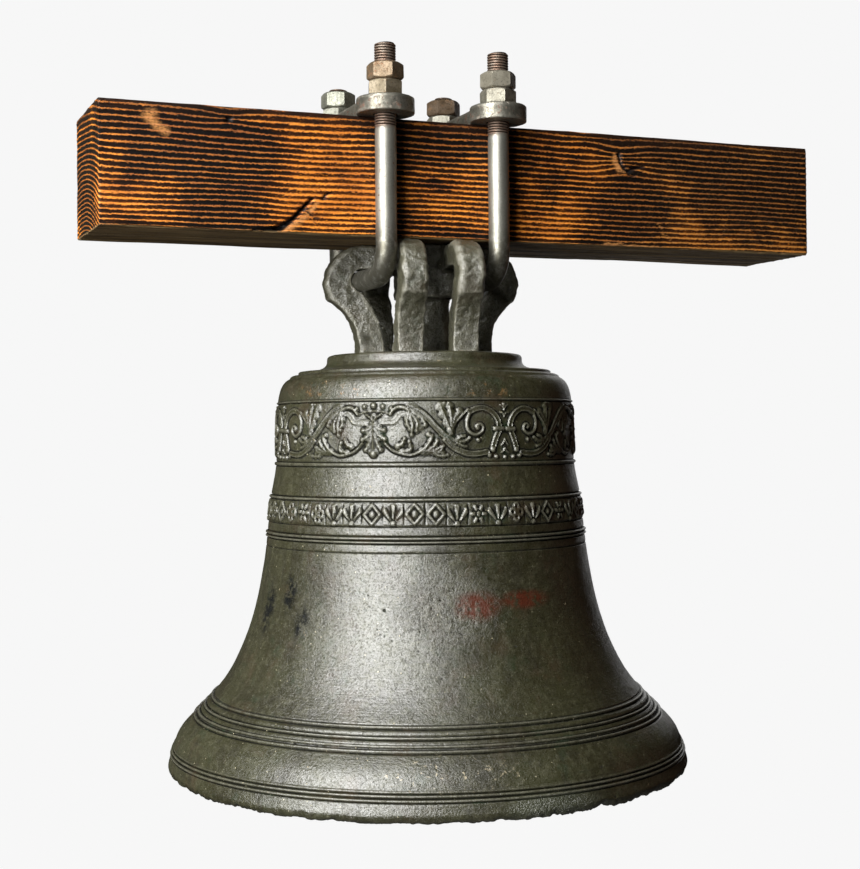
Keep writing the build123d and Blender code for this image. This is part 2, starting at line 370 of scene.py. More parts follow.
# Turned mouldings: height, half width and how far each stands out, or is cut in where that is negative.
MOULDINGS = (
    (-150.5, 0.5, -0.6), (-151.5, 1.3, 1.3), (-153.2, 0.5, -0.5), (-207.4, 0.5, -0.6),
    (-209.5, 1.7, 1.6), (-211.8, 0.6, -0.7), (-238.6, 0.7, -1.0), (-240.6, 1.3, 1.7),
    (-264.8, 0.9, -1.1), (-272.6, 0.7, -1.0), (-274.6, 1.3, 1.8), (-276.4, 0.6, -1.0),
    (-278.0, 1.1, 1.6), (-279.6, 0.7, -1.0), (-287.6, 0.9, -1.0), (-428.4, 0.8, -0.7),
    (-430.4, 1.2, 1.5), (-432.0, 0.7, -0.6), (-434.6, 2.3, 1.1), (-436.9, 0.8, -0.8),
    (-438.3, 1.2, 1.5), (-439.6, 0.7, -0.8), (-442.7, 0.7, -0.7), (-444.2, 1.3, 1.6),
    (-446.0, 0.8, -0.8), (-447.7, 1.3, 1.5), (-449.2, 0.8, -0.8), (-476.4, 1.2, 0.7),
    (-478.0, 0.8, -0.8), (-479.6, 1.3, 1.1), (-481.4, 0.9, -0.9), (-483.4, 1.3, 1.1),
    (-485.0, 0.8, -0.8),
)


def place_on_outside(height):
    """How far along the outer curve a height of the waist lies."""
    start = len(CROWN_OUTLINE) - 1
    return np.interp(-height, -OUTSIDE[start:, 1], OUTSIDE_LENGTH[start:])


MOULDING_PLACES = [place_on_outside(height) for height, _, _ in MOULDINGS]


def moulding_relief(along):
    """How far the turned mouldings stand out at each place along the outer curve."""
    relief = np.zeros(len(along))
    for at, (_, half, out) in zip(MOULDING_PLACES, MOULDINGS):
        side = np.abs(along - at) / half
        if out > 0:
            relief += out * dome(side)
        else:
            relief += out * np.exp(-(side**2))
    return relief


def outer_rows(start, end, coarse, fine):
    """Places along the outer curve for a slice's rows, close together at the mouldings."""
    rows = [start]
    while rows[-1] < end:
        gaps = [abs(rows[-1] - at) - half * 2.2 for at, (_, half, _) in zip(MOULDING_PLACES, MOULDINGS)]
        rows.append(rows[-1] + (fine if min(gaps) < 0.8 else coarse))
    rows[-1] = end
    return np.array(rows)


def on_curve(curve, lengths, along):
    """Points and outward normals of a curve in the (radius, height) plane."""
    points = np.stack([np.interp(along, lengths, curve[:, k]) for k in (0, 1)], axis=-1)
    ahead = np.stack([np.interp(along + 0.6, lengths, curve[:, k]) for k in (0, 1)], axis=-1)
    behind = np.stack([np.interp(along - 0.6, lengths, curve[:, k]) for k in (0, 1)], axis=-1)
    run = ahead - behind
    run /= np.maximum(np.linalg.norm(run, axis=1), 1e-9)[:, None]
    return points, np.stack([-run[:, 1], run[:, 0]], axis=-1)


# ---- bell: the scrollwork frieze

FRIEZE_LOW = -207.5
FRIEZE_HIGH = -153.5
FRIEZE_RADIUS = 145.5
HALF_REPEAT = 122.3
PALMETTE_AT = -18.35
FRIEZE_STEP = 0.5
# A run of leafy scrolls between two axes. Each group is (width at both ends, height), then the lines
# drawn so, as (distance round the bell from the palmette, height above the lower wire).
STROKES = (
    ((6.5, 9.0, 1.2), ((0, 41), (0, 26))),
    ((8.0, 5.0, 1.6), ((0, 27), (0.3, 19), (0, 11))),
    ((7.0, 4.0, 1.5), ((35, 45), (40, 39), (42, 32))),
    ((2.2, 1.6, 2.6), ((0, 41), (0, 26), (0, 12))),
    ((3.4, 2.0, 2.0), ((0.5, 34), (6, 29), (10, 28.5)), ((1, 30), (6, 23), (10.5, 20.5)),
     ((1, 26), (4, 16), (7, 11))),
    ((1.8, 1.5, 2.2), ((0, 36), (3, 40), (7.5, 42.8))),
    ((1.1, 0.9, 1.4), ((0, 45.9), (8, 45), (16, 42.5))),
    ((2.8, 3.6, 2.3), ((15.5, 43), (19.5, 47.4), (24.5, 48.8), (30.7, 47.1), (33.8, 43.2), (34, 38))),
    ((3.2, 1.8, 2.2), ((33, 44), (31, 36), (33.5, 30)), ((34, 42), (36, 34), (35.5, 25)),
     ((35, 43), (40, 36), (40, 28.5)), ((37, 44), (44, 39), (47.5, 33.5))),
    ((2.4, 3.2, 2.3),
     ((10.7, 16.9), (17.5, 10.8), (26.5, 7.4), (34.9, 6.5), (43.7, 10), (49.5, 15.3),
      (53.1, 21.5), (50.7, 24.1))),
    ((2.6, 1.6, 1.9), ((22.5, 14.3), (26, 16), (28.6, 20.5)), ((26, 9), (33.8, 10.9), (33, 17.8))),
    ((2.8, 2.0, 2.0), ((44, 9.8), (56, 9), (63, 8))),
    ((2.4, 1.6, 1.9), ((56, 9), (61, 10), (63, 13.5)), ((54, 9), (60, 5.5), (67, 6)),
     ((78, 16), (81, 14), (84, 13.5))),
    ((2.6, 1.8, 1.9), ((46.2, 8.9), (50, 16), (53.4, 23.3)), ((48, 9), (55, 14), (58, 18.7)),
     ((50, 9), (57, 11), (61.6, 13.3))),
    ((2.4, 4.4, 2.3), ((70.7, 25.8), (66.5, 37), (61.5, 48.5))),
    ((2.4, 4.0, 2.3), ((70.7, 25.8), (70.5, 38), (69.5, 49))),
    ((2.4, 3.6, 2.2), ((70.7, 25.8), (73.5, 38), (78.5, 44))),
    ((3.0, 2.0, 2.3), ((70.7, 25.8), (74, 34), (80, 40.5), (86.5, 46.5))),
    ((4.8, 4.8, 2.8), ((112.4, 29.1), (120, 29.1))),
    ((4.0, 2.4, 2.3),
     ((87.5, 43), (85.2, 36.5), (85.6, 31), (88.4, 26.6), (94.1, 24.3), (99.5, 27), (100.5, 31),
      (97.5, 33.5), (94.3, 31.8), (95.6, 29.6))),
    ((2.6, 1.7, 2.0), ((76, 19), (79, 22), (82.7, 23)), ((78, 18), (83, 18.6), (87.4, 21.2))),
    ((1.8, 1.2, 1.7), ((122.3, 46), (121, 49), (118.5, 50.5)), ((122.3, 40), (121, 43), (118, 44)),
     ((122.3, 20), (121, 17), (119, 15)), ((122.3, 12), (121, 9.5), (118.5, 8))),
)
# Flat ribbons with raised rims and a row of punched dots, as (points, width at both ends, height).
RIBBONS = (
    (((3, 35.8), (12, 35.8), (19, 36.2), (22, 40), (25.5, 43), (30, 43)), 5.0, 4.4, 0.9),
    (((33.8, 49.3), (43.7, 44.3), (55.5, 33), (64.4, 24.2), (74, 17.5)), 5.0, 5.0, 2.2),
    (((66, 20), (72.5, 13.2), (83.7, 7.9), (94.1, 6.8), (104, 8.2)), 5.0, 4.6, 2.2),
    (((110, 12), (113.1, 21), (116.2, 29.1), (115.2, 37.3), (110, 43.7), (102, 47.4),
      (94.1, 46.9), (88, 44)), 5.0, 4.6, 2.2),
)
# Round beads: distance round the bell, height and radius.
BEADS = (
    (0, 7.3, 3.2), (7, 11, 2.2), (10.5, 20.5, 2.2), (10, 28.5, 2.2), (0, 50.5, 2.6), (9, 49.9, 2.1),
    (16.5, 47.8, 1.9), (33.5, 29.4, 2.1), (35.5, 24.4, 2.1), (40, 27.9, 2.1), (47.5, 33, 2.1),
    (28.6, 20.9, 1.7), (33, 18.2, 1.7), (50.2, 24.5, 2.2), (67.4, 6, 1.7), (63.4, 13.9, 1.7),
    (61.9, 13.4, 1.6), (58.2, 19, 1.7), (53.5, 23.6, 1.6), (64.6, 52.2, 1.8), (68.8, 52.6, 1.7),
    (80.4, 43.6, 1.9), (95.8, 30.3, 2.0), (96.1, 19.3, 2.0), (83.2, 23.2, 1.7), (87.8, 21.6, 1.7),
    (110, 11, 3.0), (106.5, 5.5, 2.2), (113.5, 4.3, 2.2), (122.3, 51, 1.8), (122.3, 29, 1.3),
    (122.3, 4, 1.8),
)
RIBBON_PUNCH = 2.4
LEAF_WIDTH = 2.4
LEAF_FULLNESS = 2.1
LEAF_LOBES = 3


def stroke_relief(u, v, points, start, end, height):
    """One raised stroke: a round stem, or a lobed leaf with a vein if it is short and wide enough."""
    distance, along = nearest(u, v, through(points, 6))
    half = (start + (end - start) * along) / 2
    if len(points) != 3 or start < LEAF_WIDTH:
        return height * dome(distance, half)
    lobed = half * LEAF_FULLNESS * (0.72 + 0.5 * np.abs(np.sin(math.pi * LEAF_LOBES * (along + 0.1))))
    vein = np.exp(-((distance / 0.55) ** 2)) * (distance / lobed < 1)
    return height * (0.85 * dome(distance, lobed) + 0.3 * vein)


def ribbon_relief(u, v, points, start, end, height):
    """One flat ribbon with rims and punched dots."""
    line = through(points, 6)
    distance, along = nearest(u, v, line)
    side = distance / ((start + (end - start) * along) / 2)
    plate = soft_step(side, 1.1, 0.9)
    rim = np.exp(-(((side - 0.8) / 0.2) ** 2))
    punch = 0.5 + 0.5 * np.cos(2 * math.pi * along * length_along(line)[-1] / RIBBON_PUNCH)
    return plate * height * (0.45 + 0.55 * rim + 0.22 * punch * soft_step(side, 0.5, 0.1))


def frieze_pattern():
    """The relief of half a repeat, on a fine grid: rows go up the frieze, columns go round the bell."""
    columns = np.arange(0, HALF_REPEAT + FRIEZE_STEP, FRIEZE_STEP)
    rows = np.arange(0, FRIEZE_HIGH - FRIEZE_LOW + FRIEZE_STEP, FRIEZE_STEP)
    u, v = np.meshgrid(columns, rows)
    relief = np.zeros(u.shape)
    for (start, end, height), *lines in STROKES:
        for points in lines:
            relief = np.maximum(relief, stroke_relief(u, v, points, start, end, height))
    for points, start, end, height in RIBBONS:
        relief = np.maximum(relief, ribbon_relief(u, v, points, start, end, height))
    for at, up, radius in BEADS:
        bead = dome(np.hypot(u - at, v - up), radius)
        relief = np.maximum(relief, (1.2 + 0.5 * radius) * bead)
    return relief


def sampled(grid, column, row):
    """Values of a grid between its points."""
    column = np.clip(column, 0, grid.shape[1] - 1.001)
    row = np.clip(row, 0, grid.shape[0] - 1.001)
    c, r = column.astype(int), row.astype(int)
    right, up = column - c, row - r
    low = grid[r, c] * (1 - right) + grid[r, c + 1] * right
    high = grid[r + 1, c] * (1 - right) + grid[r + 1, c + 1] * right
    return low * (1 - up) + high * up


FRIEZE = frieze_pattern()


def frieze_relief(angle, height, points):
    """The frieze's relief, worn here and there, and ending at a seam on the bell's far side."""
    u = np.abs((angle - PALMETTE_AT) * math.pi / 180 * FRIEZE_RADIUS)
    folded = np.abs((u + HALF_REPEAT) % (2 * HALF_REPEAT) - HALF_REPEAT)
    wobble = smooth_noise(points, 14, 71) * 0.5
    v = height - FRIEZE_LOW + wobble
    relief = sampled(FRIEZE, (folded + wobble) / FRIEZE_STEP, v / FRIEZE_STEP)
    inside = soft_step(v, 0.4, 1.4) * soft_step(height, FRIEZE_HIGH, FRIEZE_HIGH - 0.8)
    seam = soft_step(180 - np.abs(angle), 0.4, 1.2)
    worn = 0.92 + 0.14 * smooth_noise(points, 30, 72)
    return relief * inside * seam * worn


# ---- bell: the band of ornamental tiles

TILE_LOW = -263.6
TILE_HIGH = -243.0
TILE_RADIUS = 152.0
TILE_COUNT = 50
TILE_SEED = 5


def lozenge(a, b):
    """A framed diamond with a boss."""
    edge = np.abs(np.abs(a) + np.abs(b) - 0.72)
    boss = np.sqrt(np.clip(1 - (a**2 + b**2) / 0.07, 0, 1))
    return np.maximum(soft_step(edge, 0.2, 0.08), boss)


def rosette(a, b):
    """Six petals round a bead."""
    radius, turn = np.hypot(a, b), np.arctan2(b, a)
    petal = soft_step(radius, 0.62 + 0.24 * np.cos(6 * turn), 0.4 + 0.24 * np.cos(6 * turn))
    ring = soft_step(np.abs(radius - 0.24), 0.02, 0.09)
    return petal * ring


def quatrefoil(a, b):
    """Four round lobes and a middle."""
    lobes = np.minimum(np.hypot(np.abs(a) - 0.4, b), np.hypot(a, np.abs(b) - 0.4))
    ring = soft_step(np.abs(lobes - 0.24), 0.16, 0.06)
    return np.maximum(ring, soft_step(np.hypot(a, b), 0.26, 0.14))


def palm_fan(a, b):
    """Five ribs that spread from a bead at the foot of the tile."""
    radius, turn = np.hypot(a, b + 0.72), np.arctan2(a, b + 0.72)
    ribs = soft_step(np.cos(turn * 9), -0.1, 0.5) * soft_step(np.abs(turn), 1.2, 1.0)
    length = soft_step(radius, 1.5, 1.36) * soft_step(radius, 0.28, 0.4)
    return np.maximum(ribs * length, soft_step(radius, 0.28, 0.16))


TILE_PATTERNS = (lozenge, rosette, quatrefoil, palm_fan)


def tile_relief(angle, height, points):
    """A row of small cast plates round the bell, each a little crooked, each with its own ornament."""
    draw = np.random.default_rng(TILE_SEED)
    pick = draw.permutation(np.resize(np.arange(len(TILE_PATTERNS)), TILE_COUNT))
    shift = draw.uniform(-1, 1, (TILE_COUNT, 4))
    pitch = 2 * math.pi * TILE_RADIUS / TILE_COUNT
    at = (angle + 180) / 360 * TILE_COUNT
    tile = np.floor(at).astype(int) % TILE_COUNT
    across = (at - np.floor(at) - 0.5) * pitch + shift[tile, 0] * 0.5
    up = height - (TILE_LOW + TILE_HIGH) / 2 + shift[tile, 1] * 0.5
    lean = shift[tile, 2] * 0.035
    a = (across + lean * up) / (pitch * 0.5)
    b = (up - lean * across) / ((TILE_HIGH - TILE_LOW) * 0.5)
    plate = soft_step(np.maximum(np.abs(a), np.abs(b)), 0.99, 0.9) * (0.55 + 0.2 * shift[tile, 3])
    relief = np.zeros(len(angle))
    for index, pattern in enumerate(TILE_PATTERNS):
        chosen = pick[tile] == index
        relief[chosen] = pattern(a[chosen] * 0.92, b[chosen] * 0.86)
    cast = 1 + 0.15 * smooth_noise(points, 6, 81)
    return (plate + relief * 1.35 * cast) * soft_step(np.abs(b), 1.06, 0.98)


# ---- bell: slices

# Each slice of the bell is a closed ring through the whole wall: upper and lower height, columns round
# the bell, and the spacing of its rows on plain metal and at the mouldings.
SLICES = (
    ("bell_crown", CROWN_TOP, -150.0, 560, 1.3, 0.5),
    ("bell_frieze", -150.0, -212.6, 1080, 0.85, 0.5),
    ("bell_tile_band", -212.6, -265.6, 960, 1.0, 0.5),
    ("bell_belt", -265.6, -288.6, 640, 1.2, 0.4),
    ("bell_waist", -288.6, -427.4, 780, 1.35, 0.5),
    ("bell_skirt", -427.4, -474.5, 800, 1.2, 0.45),
    ("bell_lip", -474.5, LIP_Z, 1180, 1.0, 0.5),
)
# Spacing of the rows inside the wall, and how gently slices meet
INNER_SPACING = 8.0
LIP_INNER_SPACING = 2.5
MEETING_WIDTH = 1.5
# On the bronze, low wear darkens hollows with dirt and painted shade, and high wear lightens edges with
# rubbing and a painted highlight.
# Wear is how far the relief stands out from its own blur over this many rows and columns, times a gain
WEAR_BLUR = 1.7
WEAR_GAIN = 0.9
PIT_SEED = 11
PIT_COUNT = 260
# How far from a pit it still changes the surface: height, and degrees round the bell
PIT_HEIGHT = 6
PIT_ANGLE = 4
WORN_SHARE = 0.3
SMOOTH_SLICES = ("bell_frieze", "bell_tile_band")


def scattered(seed, count):
    """Random places on the outside, as angle, height and a size draw, with more on the waist's front."""
    draw = np.random.default_rng(seed)
    angle = draw.uniform(-180, 180, count)
    height = draw.uniform(LIP_Z, CROWN_TOP - 20, count)
    worn = draw.random(count) < WORN_SHARE
    angle[worn] = draw.normal(-4, 12, worn.sum())
    height[worn] = draw.normal(-340, 14, worn.sum())
    return angle, height, draw.random(count)


def pits(angle, height, radius):
    """Blow holes and small lumps left by the casting."""
    relief = np.zeros(len(angle))
    for at, up, size in zip(*scattered(PIT_SEED, PIT_COUNT)):
        close = (np.abs(height - up) < PIT_HEIGHT) & (np.abs(angle - at) < PIT_ANGLE)
        across = (angle[close] - at) * math.pi / 180 * radius[close]
        reach = 0.7 + 0.8 * size**2
        hollow = np.exp(-(np.hypot(across, height[close] - up) ** 2) / reach**2)
        relief[close] += hollow * (-0.30 if size > 0.6 else 0.30) * (0.5 + size)
    return relief


# Larger bites out of the lip: angle round the bell, half width in degrees and depth
LIP_NOTCHES = ((75, 1.6, 5.5), (66, 1.1, 3.0), (-69, 2.0, 3.0), (-150, 2.0, 4.0), (140, 1.5, 3.5))


def lip_chips(points, height):
    """How far the broken edge of the lip is eaten upwards."""
    foot = points * np.array([1, 1, 0])
    bite = np.clip(rough_noise(foot, 16, 3, 91) * 2.4 + 0.6, 0, 3.6)
    bite += np.clip(rough_noise(foot, 5, 2, 95) * 1.6 + 0.2, 0, 1.6)
    bite += np.clip(rough_noise(foot, 2.4, 1, 97) * 1.5 + 0.3, 0, 1.4)
    angle = (np.degrees(np.arctan2(points[:, 1], points[:, 0])) - BELL_FRONT + 180) % 360 - 180
    bite *= 0.4 + 0.6 * soft_step(np.abs(angle), 8, 42)
    for at, half, depth in LIP_NOTCHES:
        bite += depth * np.exp(-(((angle - at) / half) ** 2))
    return bite * soft_step(height, -488, LIP_Z)


def casting_waves(points):
    """The slow unevenness that all slices share, so that they meet without a step."""
    return 0.16 * rough_noise(points, 24, 3, 21)


def outer_relief(name, angle, along, points, radius):
    """Everything that stands out of the bell's plain outer curve."""
    height = points[:, 2]
    relief = moulding_relief(along)
    relief += casting_waves(points) + 0.07 * rough_noise(points, 3.2, 2, 31)
    if name == "bell_frieze":
        relief += frieze_relief(angle, height, points)
    if name == "bell_tile_band":
        relief += tile_relief(angle, height, points)
    if name not in SMOOTH_SLICES:
        relief += pits(angle, height, radius)
    if name == "bell_waist":
        rough = soft_step(np.hypot((angle - 4) / 24, (height + 340) / 27), 1.2, 0.2)
        relief += rough * 0.62 * np.abs(rough_noise(points, 4.6, 2, 41))
    return relief


def slice_relief(name, angle, along, outer, flat):
    """A slice's outer relief, which fades to the shared waves where the slice meets the next one."""
    shape = (len(outer), len(angle))
    all_angles = np.tile(angle, shape[0])
    all_along = np.repeat(along, shape[1])
    all_radii = np.repeat(outer[:, 0], shape[1])
    relief = outer_relief(name, all_angles, all_along, flat, all_radii).reshape(shape)
    meeting = np.ones(shape[0])
    if along[0] > 0:
        meeting *= soft_step(along, along[0], along[0] + MEETING_WIDTH)
    if along[-1] < OUTSIDE_LENGTH[-1]:
        meeting *= soft_step(along, along[-1], along[-1] - MEETING_WIDTH)
    shared = casting_waves(flat).reshape(shape)
    return shared + (relief - shared) * meeting[:, None]


def inner_rows(top, bottom):
    """A slice's rows on the inside of the wall, from its foot up: points and normals."""
    wall = INSIDE_LENGTH[: len(INNER_WALL)]
    lip = bottom == LIP_Z
    start = 0 if lip else np.interp(bottom, INNER_WALL[:, 1], wall)
    end = INSIDE_LENGTH[-1] if top == CROWN_TOP else np.interp(top, INNER_WALL[:, 1], wall)
    spacing = LIP_INNER_SPACING if lip else INNER_SPACING
    return on_curve(INSIDE, INSIDE_LENGTH, np.linspace(start, end, max(int((end - start) / spacing), 5)))


def turned(profile, angle):
    """Rows of (radius, height) swept round the bell's axis through the angles."""
    turn = np.radians(angle + BELL_FRONT)
    across = np.stack([np.cos(turn), np.sin(turn), np.zeros(len(angle))], axis=-1)
    return profile[:, None, :1] * across[None] + profile[:, None, 1:] * np.array([0, 0, 1.0])


def bell_slice(name, top, bottom, columns, coarse, fine, material):
    """One closed ring of the bell, or its closed crown."""
    start = 0 if top == CROWN_TOP else place_on_outside(top)
    end = OUTSIDE_LENGTH[-1] if bottom == LIP_Z else place_on_outside(bottom)
    along = outer_rows(start, end, coarse, fine)
    outer, outer_normal = on_curve(OUTSIDE, OUTSIDE_LENGTH, along)
    inner, inner_normal = inner_rows(top, bottom)
    angle = np.linspace(-180, 180, columns, endpoint=False)
    points = turned(np.vstack([outer, inner]), angle)
    outward = turned(np.vstack([outer_normal, inner_normal]), angle)

    rows = len(outer)
    relief = slice_relief(name, angle, along, outer, points[:rows].reshape(-1, 3))
    inner_relief = 0.35 * rough_noise(points[rows:].reshape(-1, 3), 28, 3, 22).reshape(len(inner), columns)
    points = (points + outward * np.vstack([relief, inner_relief])[:, :, None]).reshape(-1, 3)
    if bottom == LIP_Z:
        points[:, 2] += lip_chips(points, points[:, 2])

    wear = np.vstack([relief - blurred(relief, WEAR_BLUR), np.zeros(inner_relief.shape)])
    quads = grid_quads(rows + len(inner), columns, wrap_rows=top != CROWN_TOP)
    piece = new_piece(name, points, quads, {"wear": 0.5 + wear * WEAR_GAIN})
    return place(piece, "headstock", "bell", "bronze", material)


# ---- worn copies of CAD nodes


EDGE_ROUNDS = 10


def vectors(items, key):
    """One vector property of many mesh items, as rows."""
    values = np.zeros(len(items) * 3)
    items.foreach_get(key, values)
    return values.reshape(-1, 3)


def edge_wear(mesh, points, normals):
    """How convex the surface is at each point, smoothed: high on edges, low in corners, 0.5 where flat."""
    ends = np.zeros(len(mesh.edges) * 2, np.int32)
    mesh.edges.foreach_get("vertices", ends)
    ends = ends.reshape(-1, 2)
    count = np.maximum(np.bincount(ends.ravel(), minlength=len(points)), 1)

    def neighbours(values):
        total = np.zeros_like(values)
        np.add.at(total, ends[:, 0], values[ends[:, 1]])
        np.add.at(total, ends[:, 1], values[ends[:, 0]])
        return total / (count[:, None] if values.ndim > 1 else count)

    smooth = points
    for _ in range(EDGE_ROUNDS):
        smooth = neighbours(smooth)
    return np.sum((points - smooth) * normals, axis=1)


def weathered(node, voxel, rounding, lumps, body, slot, material, wear_gain=1.2):
    """A worn copy of a CAD node: an even mesh with rounded corners and (size, height, seed) lumps."""
    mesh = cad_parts[node].data.copy()
    weld(mesh, False)
    source = linked(node + "_source", mesh)
    remesh = source.modifiers.new("remesh", "REMESH")
    remesh.mode = "VOXEL"
    remesh.voxel_size = voxel * MM
    smooth = source.modifiers.new("smooth", "SMOOTH")
    smooth.iterations = rounding
    smooth.factor = 0.5
    bpy.context.view_layer.update()
    made = bpy.data.meshes.new_from_object(source.evaluated_get(bpy.context.evaluated_depsgraph_get()))
    bpy.data.objects.remove(source)

    points = vectors(made.vertices, "co") / MM
    normals = vectors(made.vertex_normals, "vector")
    wear = edge_wear(made, points, normals)
    relief = np.zeros(len(points))
    for size, height, seed in lumps:
        relief += height * rough_noise(points, size, 3, seed)
    points = points + normals * relief[:, None]
    made.vertices.foreach_set("co", (points * MM).ravel())
    add_attribute(made, "wear", 0.5 + wear_gain * wear + 0.25 * relief)
    made.update()
    made.name = node + "_worn"
    made.shade_smooth()
    return place(linked(made.name, made), body, node, slot, material)


# ---- beam

BEAM_CORNER = 2.6
BEAM_STATIONS = 368
END_ARRIS = 1.2
# Shares of the section's size at which each sawn end has its rows
CAP_SHARES = np.array([0.0, 0.12, 0.24, 0.36, 0.48, 0.58, 0.68, 0.77, 0.85, 0.91, 0.96, 0.985])
BEAM_MIDDLE = (BEAM_LOW + BEAM_HIGH) / 2
RING_CENTRE = (30.0, -150.0)
RING_SPACING = 4.5
RING_REACH = 200.0
RING_GROWTH = 0.4
LATEWOOD = 0.13
# Knots on the front face: (x, z), reach and how far they push the rings aside
KNOTS = (((-208, 101), 9, 0.5), ((190, 86), 12, 0.9), ((150, 107), 9, 0.4))
# Gouges in the front face: points as (x, z), half widths at both ends and depth
GOUGES = (
    (((-174, 1), (-160, 6), (-149, 14), (-140, 24), (-131, 33)), 3.6, 1.5, 5.0),
    (((-186, 2), (-172, 4), (-160, 5)), 1.0, 3.0, 2.4),
    (((-121, 33), (-117, 38), (-112, 41)), 2.0, 1.0, 2.2),
    (((-139, 21), (-130, 17), (-124, 16)), 1.6, 0.8, 1.6),
    (((-208, 100.5), (-207, 101.5)), 2.8, 2.0, 3.5),
    (((186, 92), (188, 85), (193, 79)), 2.4, 1.6, 3.6),
    (((198, 78), (206, 80), (215, 81)), 2.6, 1.0, 3.2),
    (((194, 79), (199, 72), (203, 70)), 1.6, 0.9, 2.2),
)
# Bare, unburnt wood on the front face, beside the gouges and along scratches
PALE_STROKES = (
    (((-160, 1), (-145, 10), (-135, 19), (-128, 27)), 4.2, 2.6),
    (((-280, 98), (-273, 91), (-266, 85)), 8.0, 5.0),
    (((229, 27), (238, 14), (250, 2)), 0.7, 0.5),
    (((233, 24), (236, 19)), 1.0, 0.5),
    (((183, 90), (186, 80), (194, 76)), 4.5, 3.0),
    (((170, 4), (200, 2.5), (229, 2)), 1.4, 0.9),
)


def spaced(start, end, spacing):
    """Even steps from start up to, but not including, end."""
    return np.linspace(start, end, max(int(round(abs(end - start) / spacing)), 1), endpoint=False)


def beam_section():
    """The beam's outline across its length, as (y, z) points and outward normals, from the front's foot."""
    corner = BEAM_CORNER
    low_y, low_z = BEAM_LOW[1:]
    high_y, high_z = BEAM_HIGH[1:]
    front, rear = low_y + corner, high_y - corner
    foot, head = low_z + corner, high_z - corner
    sides = (
        ((low_y, foot), (low_y, head), (-1, 0), (front, head), 1.15),
        ((front, high_z), (rear, high_z), (0, 1), (rear, head), 2.0),
        ((high_y, head), (high_y, foot), (1, 0), (rear, foot), 2.1),
        ((rear, low_z), (front, low_z), (0, -1), (front, foot), 1.9),
    )
    points, normals = [], []
    for start, end, out, centre, spacing in sides:
        size = math.dist(start, end)
        for part in spaced(0, size, spacing) / size:
            points.append((start[0] + (end[0] - start[0]) * part, start[1] + (end[1] - start[1]) * part))
            normals.append(out)
        first = math.atan2(out[1], out[0])
        for turn in spaced(first, first - math.pi / 2, 0.32):
            normals.append((math.cos(turn), math.sin(turn)))
            points.append((centre[0] + corner * math.cos(turn), centre[1] + corner * math.sin(turn)))
    return np.array(points), np.array(normals)


def ring_phase(points):
    """How many growth rings lie between the heart and each point, bent by the grain and round the knots."""
    x, y, z = points.T
    from_heart = np.hypot(y - RING_CENTRE[0], z - RING_CENTRE[1])
    phase = RING_REACH / RING_SPACING / RING_GROWTH * (from_heart / RING_REACH) ** RING_GROWTH
    phase += 0.50 * smooth_noise(points * (1, 1.6, 1.6), 150, 51)
    phase += 0.22 * smooth_noise(points * (1, 2.5, 2.5), 70, 52)
    phase += 0.08 * smooth_noise(points * (1, 4, 4), 26, 53)
    front = soft_step(y, -30, -52)
    for (at, up), reach, push in KNOTS:
        side = (z - up) / reach
        pull = np.exp(-(((x - at) / (2.0 * reach)) ** 2) - side**2)
        phase += front * push * pull * side * 1.8
    return phase


def stroke_mask(x, z, points, start, end):
    """1 in the middle of a stroke on the front face, and 0 outside it."""
    distance, along = nearest(x, z, through(points, 5))
    return np.clip(1 - distance / (start + (end - start) * along), 0, 1)


def beam_surface(section, out):
    """The beam's plain surface from end to end, as rows of points and of outward normals."""
    count, columns = len(CAP_SHARES), len(section)
    stations = np.linspace(BEAM_LOW[0] + END_ARRIS, BEAM_HIGH[0] - END_ARRIS, BEAM_STATIONS)
    x = np.concatenate([np.full(count, BEAM_LOW[0]), stations, np.full(count, BEAM_HIGH[0])])
    shrink = np.concatenate([CAP_SHARES, np.ones(BEAM_STATIONS), CAP_SHARES[::-1]])
    facing = np.concatenate([np.full(count, -1.0), np.zeros(BEAM_STATIONS), np.ones(count)])
    middle = BEAM_MIDDLE[1:]
    crossing = middle + (section[None] - middle) * shrink[:, None, None]
    points = np.concatenate([np.broadcast_to(x[:, None, None], (len(x), columns, 1)), crossing], axis=-1)
    side = (1 - np.abs(facing))[:, None, None] * out[None]
    normals = np.concatenate([np.broadcast_to(facing[:, None, None], (len(x), columns, 1)), side], axis=-1)
    return points, normals.reshape(-1, 3)


def beam_marks(flat, normals):
    """The front face's marks at each point: how deep it is gouged, how much painted shade darkens the
    gouges, and how bare.
    """
    ragged = 1.5 * rough_noise(flat, 6, 2, 57)
    front = normals[:, 1] < -0.4
    depths, scar, pale = np.zeros((3, len(flat)))
    x, z = flat[:, 0], flat[:, 2]
    for stroke, start, end, depth in GOUGES:
        mask = stroke_mask(x + ragged, z + 1.2 * ragged, stroke, start, end) * front
        depths += depth * np.minimum(mask * 1.6, 1)
        # Mask of painted shade over each gouge.
        scar = np.maximum(scar, np.minimum(mask * 3, 1))
    for stroke, start, end in PALE_STROKES:
        mask = stroke_mask(x + 1.5 * ragged, z + 1.5 * ragged, stroke, start, end) * front
        pale = np.maximum(pale, np.minimum(mask * 1.5, 1))
    return depths, scar, pale


